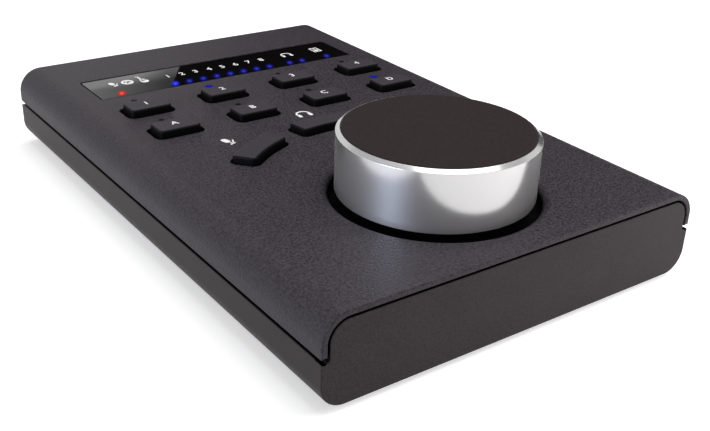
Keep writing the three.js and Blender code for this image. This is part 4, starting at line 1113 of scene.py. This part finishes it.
class REMOTE_OT_tray(bpy.types.Operator):
    """Makes the lower tray with its two end panels"""

    bl_idname = "remote.tray"
    bl_label = "Base tray"

    def execute(self, context):
        housing = context.scene.remote_housing
        width, depth = TRAY_HIGH.x - TRAY_LOW.x, TRAY_HIGH.y - TRAY_LOW.y
        seam_low, floor_top = COVER_LOW.z - housing.seam, TRAY_LOW.z + housing.floor
        shell = housing.sheet + housing.panel_gap
        tray = block("base_tray_shell", width, depth, TRAY_LOW.z, seam_low)
        bevel_edges(tray, long_edges(TRAY_LOW.z), housing.tray_bend, 14)
        upper = block("tray_upper", width - 2 * shell, depth, (TRAY_LOW.z + seam_low) / 2, TRAY_HIGH.z)
        bevel_edges(upper, long_edges(TRAY_HIGH.z), housing.bend - shell, 14)
        combine(tray, upper)
        ease_edges(tray, housing.edge)
        wall = shell + housing.lip
        inside = depth - 2 * housing.end_panel
        cavity = block("tray_cavity", width - 2 * wall, inside, floor_top, COVER_TOP)
        bevel_edges(cavity, long_edges(floor_top), housing.tray_bend - wall, 14)
        combine(tray, cavity, "DIFFERENCE")
        lip_top = COVER_LOW.z - housing.seam / 2 + housing.lip_rise
        combine(tray, block("above_lip", width, inside, lip_top, COVER_TOP), "DIFFERENCE")
        for cutter in self.cutters(housing, floor_top):
            combine(tray, cutter, "DIFFERENCE")
        board_low, board_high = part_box("main_board")
        for side in (-1, 1):
            place = (side * (board_high.x - 3 * MM), board_low.y + 4 * MM)
            combine(tray, rod("board_post", 2.5 * MM, TRAY_LOW.z + housing.floor / 2, 13.4 * MM, place))
        smooth(tray)
        finish_piece(tray, finish("tray"), "housing", ["base_tray"])
        return {"FINISHED"}

    def cutters(self, housing, floor_top):
        for n in range(1, 5):
            middle = middle_of(f"base_screw_{n}")
            yield rod("cut_shank", SCREW_HOLE, TRAY_LOW.z - MM, floor_top + MM, middle)
            start_clean()
            bpy.ops.mesh.primitive_cone_add(
                vertices=48,
                radius1=4.4 * MM,
                radius2=SCREW_HOLE,
                depth=2.64 * MM,
                location=(middle.x, middle.y, TRAY_LOW.z + 0.13 * MM),
            )
            yield settle(named("cut_head"))
        low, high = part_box("usb_shell")
        gap = 0.35 * MM
        slot_y = TRAY_HIGH.y - housing.end_panel / 2
        slot = block(
            "cut_socket", high.x - low.x + 2 * gap, 3 * housing.end_panel, low.z - gap, high.z + gap, y=slot_y
        )
        yield bevel_edges(slot, lambda e: abs(e.verts[0].co.y - e.verts[1].co.y) > EPSILON, 1.8 * MM, 6)
        yield from relief_cutters(housing)


class REMOTE_OT_window(bpy.types.Operator):
    """Makes the smoked window with its lights, numerals and pictograms"""

    bl_idname = "remote.window"
    bl_label = "Window"

    def execute(self, context):
        window, keys = context.scene.remote_window, context.scene.remote_keys
        lip = window.flange_lip
        width, depth = LENS_HIGH.x - LENS_LOW.x, LENS_HIGH.y - LENS_LOW.y
        middle = (LENS_LOW.y + LENS_HIGH.y) / 2
        flange_top, top = LENS_LOW.z + window.flange, LENS_HIGH.z - window.sunk
        lens = block("window_lens", width, depth, LENS_LOW.z, flange_top, y=middle)
        bevel_edges(lens, upright, lip, 5)
        face = width - 2 * lip
        plate = block("window_plate", face, depth - 2 * lip, LENS_LOW.z + window.flange / 2, top, y=middle)
        bevel_edges(plate, upright, window.corner, 4)
        combine(lens, plate)
        round_top(lens, top, 0.12 * MM, 2)
        smooth(lens)
        finish_piece(lens, finish("window"), "housing", ["display_lens"])
        row = (GUIDE_LOW.y + GUIDE_HIGH.y) / 2
        levels = [face * LEVELS_AT + face * LEVEL_PITCH * (n - 3.5) for n in range(8)]
        self.legends(keys, levels, face, row + 6.8 * MM, top)
        self.lamps(window, levels, face, row, top)
        return {"FINISHED"}

    def legends(self, keys, levels, face, y, z):
        rise = keys.print_rise
        for n, x in enumerate(levels, 1):
            numeral = character(f"numeral_{n}", str(n), keys.legend_height * 0.96, x + 1.0 * MM, y, z, rise)
            finish_print(numeral, "housing")
        for kind, x, up, size, tilt in (
            ("microphone", -33.4 * MM, 1.1, 3.6, 12),
            ("round_input", -29.1 * MM, 1.0, 3.6, 0),
            ("guitar", -24.6 * MM, 1.2, 5.2, 8),
            ("headphones", face * HEADPHONES_AT + 0.9 * MM, 0.2, 4.0, 0),
            ("loudspeaker", face * SPEAKER_AT + 0.3 * MM, 0.2, 3.9, 0),
        ):
            pictogram("window", kind, size * MM, x, y + up * MM, z, rise, tilt)

    def lamps(self, window, levels, face, y, z):
        headphones, pitch = face * HEADPHONES_AT, face * LEVEL_PITCH
        lamps = [(f"level_{n}", x, "level" if n > 1 else "first_level") for n, x in enumerate(levels, 1)]
        lamps += [("headphones_left", headphones - pitch / 2, "level")]
        lamps += [("headphones_right", headphones + pitch / 2, "level")]
        lamps += [("speaker", face * SPEAKER_AT, "level"), ("input", face * INPUT_AT, "input")]
        for name, x, kind in lamps:
            # Each halo is longer away from the user than across, because the light guide's slots are long
            glow = disc(f"lamp_{name}", 1.0, 0.0, 0.0, 40)
            glow.location = (x, y, z + 0.04 * MM)
            glow.scale = (window.glow_across, window.glow_along, 1.0)
            glow.rotation_euler.z = math.radians(-28)
            finish_piece(settle(glow), finish(kind), "housing")


class REMOTE_OT_straight_keys(bpy.types.Operator):
    """Makes the eight straight keys with their characters"""

    bl_idname = "remote.straight_keys"
    bl_label = "Straight keys"

    def execute(self, context):
        keys = context.scene.remote_keys
        start = middle_of(STRAIGHT_KEYS[0])
        first = self.model(keys, start, *(corner.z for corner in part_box(STRAIGHT_KEYS[0])))
        for name in STRAIGHT_KEYS:
            middle = middle_of(name)
            piece = first
            if name != STRAIGHT_KEYS[0]:
                piece = first.copy()
                piece.data = first.data.copy()
                context.collection.objects.link(piece)
                piece.data.transform(Matrix.Translation(middle - start))
            piece.name = f"{name}_cap"
            finish_piece(piece, finish("key"), name, [name])
            legend, top = name[-1].upper(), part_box(name)[1].z
            x, y, height = middle.x - 0.05 * MM, middle.y + 0.5 * MM, keys.legend_height * 0.87
            finish_print(character(f"{name}_legend", legend, height, x, y, top, keys.print_rise), name)
        return {"FINISHED"}

    def model(self, keys, middle, low, high):
        flange_low = flange_bottom()
        flange_top, halfway = flange_low + keys.flange, flange_low + keys.flange / 2
        width, depth = keys.width + 2 * keys.flange_lip, keys.depth + 2 * keys.flange_lip
        key = block("key", width, depth, flange_low, flange_top, middle.x, middle.y)
        bevel_edges(key, upright, keys.corner + keys.flange_lip, 5)
        cap = block("cap", keys.width, keys.depth, halfway, high - keys.edge_drop, middle.x, middle.y)
        bevel_edges(cap, upright, keys.corner, 6)
        crown(cap, high, keys.edge, keys.edge_drop)
        combine(key, cap)
        combine(key, rod("stem", keys.stem, low, halfway, middle))
        return smooth(key, 40)


class REMOTE_OT_curved_keys(bpy.types.Operator):
    """Makes the three curved keys and the pictograms behind them"""

    bl_idname = "remote.curved_keys"
    bl_label = "Curved keys"

    def execute(self, context):
        keys = context.scene.remote_keys
        flange_low = flange_bottom()
        flange_top, halfway = flange_low + keys.flange, flange_low + keys.flange / 2
        for index, name in enumerate(CURVED_KEYS):
            low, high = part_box(name)
            key = arc_block(f"{name}_cap", keys, index, keys.flange_lip, keys.flange_lip, flange_low, flange_top)
            cap = arc_block("cap", keys, index, 0.0, 0.0, halfway, high.z - keys.edge_drop)
            crown(cap, high.z, keys.edge, keys.edge_drop)
            combine(key, cap)
            for side in (-1, 1):
                angle = math.pi / 2 + (1 - index) * keys.step + side * math.radians(5)
                place = self.round_knob((keys.inner + keys.outer) / 2, angle)
                combine(key, rod("stem", keys.stem, low.z, halfway, place))
            smooth(key, 40)
            finish_piece(key, finish("key"), name, [name])
        for kind, degrees, size, tilt in (
            ("microphone", 118, 4.3, 18),
            ("headphones", 89.5, 4.6, 0),
            ("loudspeaker", 61, 4.4, 0),
        ):
            x, y = self.round_knob(55.4 * MM, math.radians(degrees))
            pictogram("cover", kind, size * MM, x - 0.3 * MM, y, COVER_TOP, keys.print_rise, tilt)
        return {"FINISHED"}

    def round_knob(self, radius, angle):
        return KNOB_CENTRE.x + radius * math.cos(angle), KNOB_CENTRE.y + radius * math.sin(angle)


class REMOTE_OT_key_lights(bpy.types.Operator):
    """Tips the light pins behind the straight keys, and lights two of them"""

    bl_idname = "remote.key_lights"
    bl_label = "Key lights"

    def execute(self, context):
        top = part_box("key_light_guide_rear")[1].z
        for name, place in zip(STRAIGHT_KEYS, key_lights()):
            tip = rod(f"{name}_pin_tip", 0.72 * MM, top - 0.3 * MM, top + PIN_RISE, place, 24)
            round_top(tip, top + PIN_RISE, 0.1 * MM, 2)
            smooth(tip)
            finish_piece(tip, finish("unlit"), "housing")
            if name in LIT_KEYS:
                glow = disc(f"{name}_glow", context.scene.remote_window.key_glow, *place, 32, COVER_TOP + 0.05 * MM)
                finish_piece(glow, finish("key_lamp"), "housing")
        return {"FINISHED"}


class REMOTE_OT_knob(bpy.types.Operator):
    """Turns the knob's shell and lets the pad into it"""

    bl_idname = "remote.knob"
    bl_label = "Knob"

    def execute(self, context):
        knob = context.scene.remote_knob
        self.shell(knob)
        radius = (PAD_HIGH.x - PAD_LOW.x) / 2
        pad = rod("knob_pad", radius, PAD_LOW.z, PAD_HIGH.z, KNOB_CENTRE, knob.facets)
        round_top(pad, PAD_HIGH.z, knob.pad_round, 5)
        smooth(pad, 40)
        finish_piece(pad, finish("pad"), "knob", ["knob_top_pad"])
        return {"FINISHED"}

    def shell(self, knob):
        low, high = KNOB_LOW.z, KNOB_HIGH.z
        foot, shoulder = at_height(low), high - knob.chamfer_drop
        shell = rod("knob_shell_turned", knob.radius, low, shoulder, KNOB_CENTRE, knob.facets)
        edit(shell)
        choose(shell, "FACE", faces_up(shoulder))
        step = step_to(knob.radius, knob.radius - knob.chamfer, knob.chamfer_drop)
        step_to(step, step - knob.land, 0.0)
        extrude_up(-knob.recess)
        choose(shell, "FACE", faces_up(low, -1))
        step_to(knob.radius, knob.radius - knob.wall, 0.0)
        extrude_up(high - knob.recess - knob.plate - low)
        rim = knob.radius - 0.1 * MM
        choose(shell, "EDGE", lambda e: foot(e) and (e.verts[0].co - KNOB_CENTRE).xy.length > rim)
        bevel_selected(0.25 * MM, 3)
        level = (at_height(high), at_height(shoulder))
        choose(shell, "EDGE", lambda e: any(test(e) for test in level) and e.calc_face_angle(0) > 0.4)
        bevel_selected(0.06 * MM, 2)
        leave_edit()
        smooth(shell, 30)
        finish_piece(shell, finish("knob"), "knob", ["knob_shell"])


class REMOTE_OT_well(bpy.types.Operator):
    """Makes the dark dish that the knob stands in"""

    bl_idname = "remote.well"
    bl_label = "Knob well"

    def execute(self, context):
        inner = context.scene.remote_housing.well_radius
        low, top, above = WELL_LOW.z, WELL_HIGH.z, WELL_HIGH.z + MM
        flange_low = top - 1.2 * MM
        dish = rod("knob_well_dish", inner + 1.2 * MM, low, top, KNOB_CENTRE, 128)
        combine(dish, rod("flange", inner + 2.6 * MM, flange_low, top, KNOB_CENTRE, 128))
        for n in range(1, 5):
            nut = middle_of(f"well_nut_{n}")
            combine(dish, rod("ear", 3.2 * MM, flange_low, top, nut, 40))
            combine(dish, rod("hole", SCREW_HOLE, low, above, nut, 24), "DIFFERENCE")
        combine(dish, rod("inside", inner, low + 1.4 * MM, above, KNOB_CENTRE, 128), "DIFFERENCE")
        combine(dish, rod("bore", 4.58 * MM, low - MM, top, KNOB_CENTRE, 64), "DIFFERENCE")
        smooth(dish)
        finish_piece(dish, finish("well"), "housing", ["knob_well"])
        return {"FINISHED"}


class REMOTE_OT_feet(bpy.types.Operator):
    """Makes the four rubber feet"""

    bl_idname = "remote.feet"
    bl_label = "Feet"

    def execute(self, context):
        for n in range(1, 5):
            low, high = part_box(f"foot_{n}")
            foot = rod(f"foot_{n}_rubber", 6.0 * MM, low.z, high.z, (low + high) / 2, 64)
            bevel_edges(foot, at_height(low.z), 0.4 * MM, 4)
            smooth(foot)
            finish_piece(foot, finish("foot"), "housing", [f"foot_{n}"])
        return {"FINISHED"}


class REMOTE_OT_inner_parts(bpy.types.Operator):
    """Finishes the CAD nodes that keep their own shape"""

    bl_idname = "remote.inner_parts"
    bl_label = "Inner parts"

    def execute(self, context):
        kept = {
            "brass": ("pillar_", "board_standoff_", "encoder_bushing"),
            "black_steel": ("base_screw_", "knob_grub_screw"),
            "steel": ("board_screw_", "well_nut_", "usb_shell", "encoder_washer", "encoder_nut", "encoder_wheel"),
            "shaft": ("encoder_shaft",),
            "mat": ("keypad_mat",),
            "board": ("main_board", "encoder_board"),
            "clear": ("strip_light_guide", "key_light_guide_"),
            "ribbon": ("board_ribbon",),
            "dark": ("usb_tongue", "encoder_body", "encoder_plunger", "knob_hub"),
        }
        for name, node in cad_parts.items():
            for kind, starts in kept.items():
                if name.startswith(starts):
                    coat(node, finish(kind))
        return {"FINISHED"}


class REMOTE_PT_panel(bpy.types.Panel):
    """Lists the pieces and their sizes"""

    bl_idname = "REMOTE_PT_panel"
    bl_label = "Remote control"
    bl_space_type = "VIEW_3D"
    bl_region_type = "UI"
    bl_category = "Remote"

    def draw(self, context):
        for name in PROPERTY_GROUPS.values():
            settings = getattr(context.scene, name)
            column = self.layout.column()
            for key in settings.bl_rna.properties.keys():
                if key not in ("rna_type", "name"):
                    column.prop(settings, key)
        for operator in OPERATORS:
            self.layout.operator(operator.bl_idname)


PROPERTY_GROUPS = {
    RemoteHousing: "remote_housing",
    RemoteKeys: "remote_keys",
    RemoteWindow: "remote_window",
    RemoteKnob: "remote_knob",
    RemoteStage: "remote_stage",
}
OPERATORS = (
    REMOTE_OT_stage,
    REMOTE_OT_cover,
    REMOTE_OT_tray,
    REMOTE_OT_window,
    REMOTE_OT_straight_keys,
    REMOTE_OT_curved_keys,
    REMOTE_OT_key_lights,
    REMOTE_OT_knob,
    REMOTE_OT_well,
    REMOTE_OT_feet,
    REMOTE_OT_inner_parts,
)


def register():
    for group, name in PROPERTY_GROUPS.items():
        bpy.utils.register_class(group)
        setattr(bpy.types.Scene, name, PointerProperty(type=group))
    for operator in OPERATORS:
        bpy.utils.register_class(operator)
    bpy.utils.register_class(REMOTE_PT_panel)


def unregister():
    bpy.utils.unregister_class(REMOTE_PT_panel)
    for operator in reversed(OPERATORS):
        bpy.utils.unregister_class(operator)
    for group, name in PROPERTY_GROUPS.items():
        delattr(bpy.types.Scene, name)
        bpy.utils.unregister_class(group)


def main():
    register()
    for operator in OPERATORS:
        group, name = operator.bl_idname.split(".")
        getattr(getattr(bpy.ops, group), name)()
    start_clean()


if __name__ == "__main__":
    main()
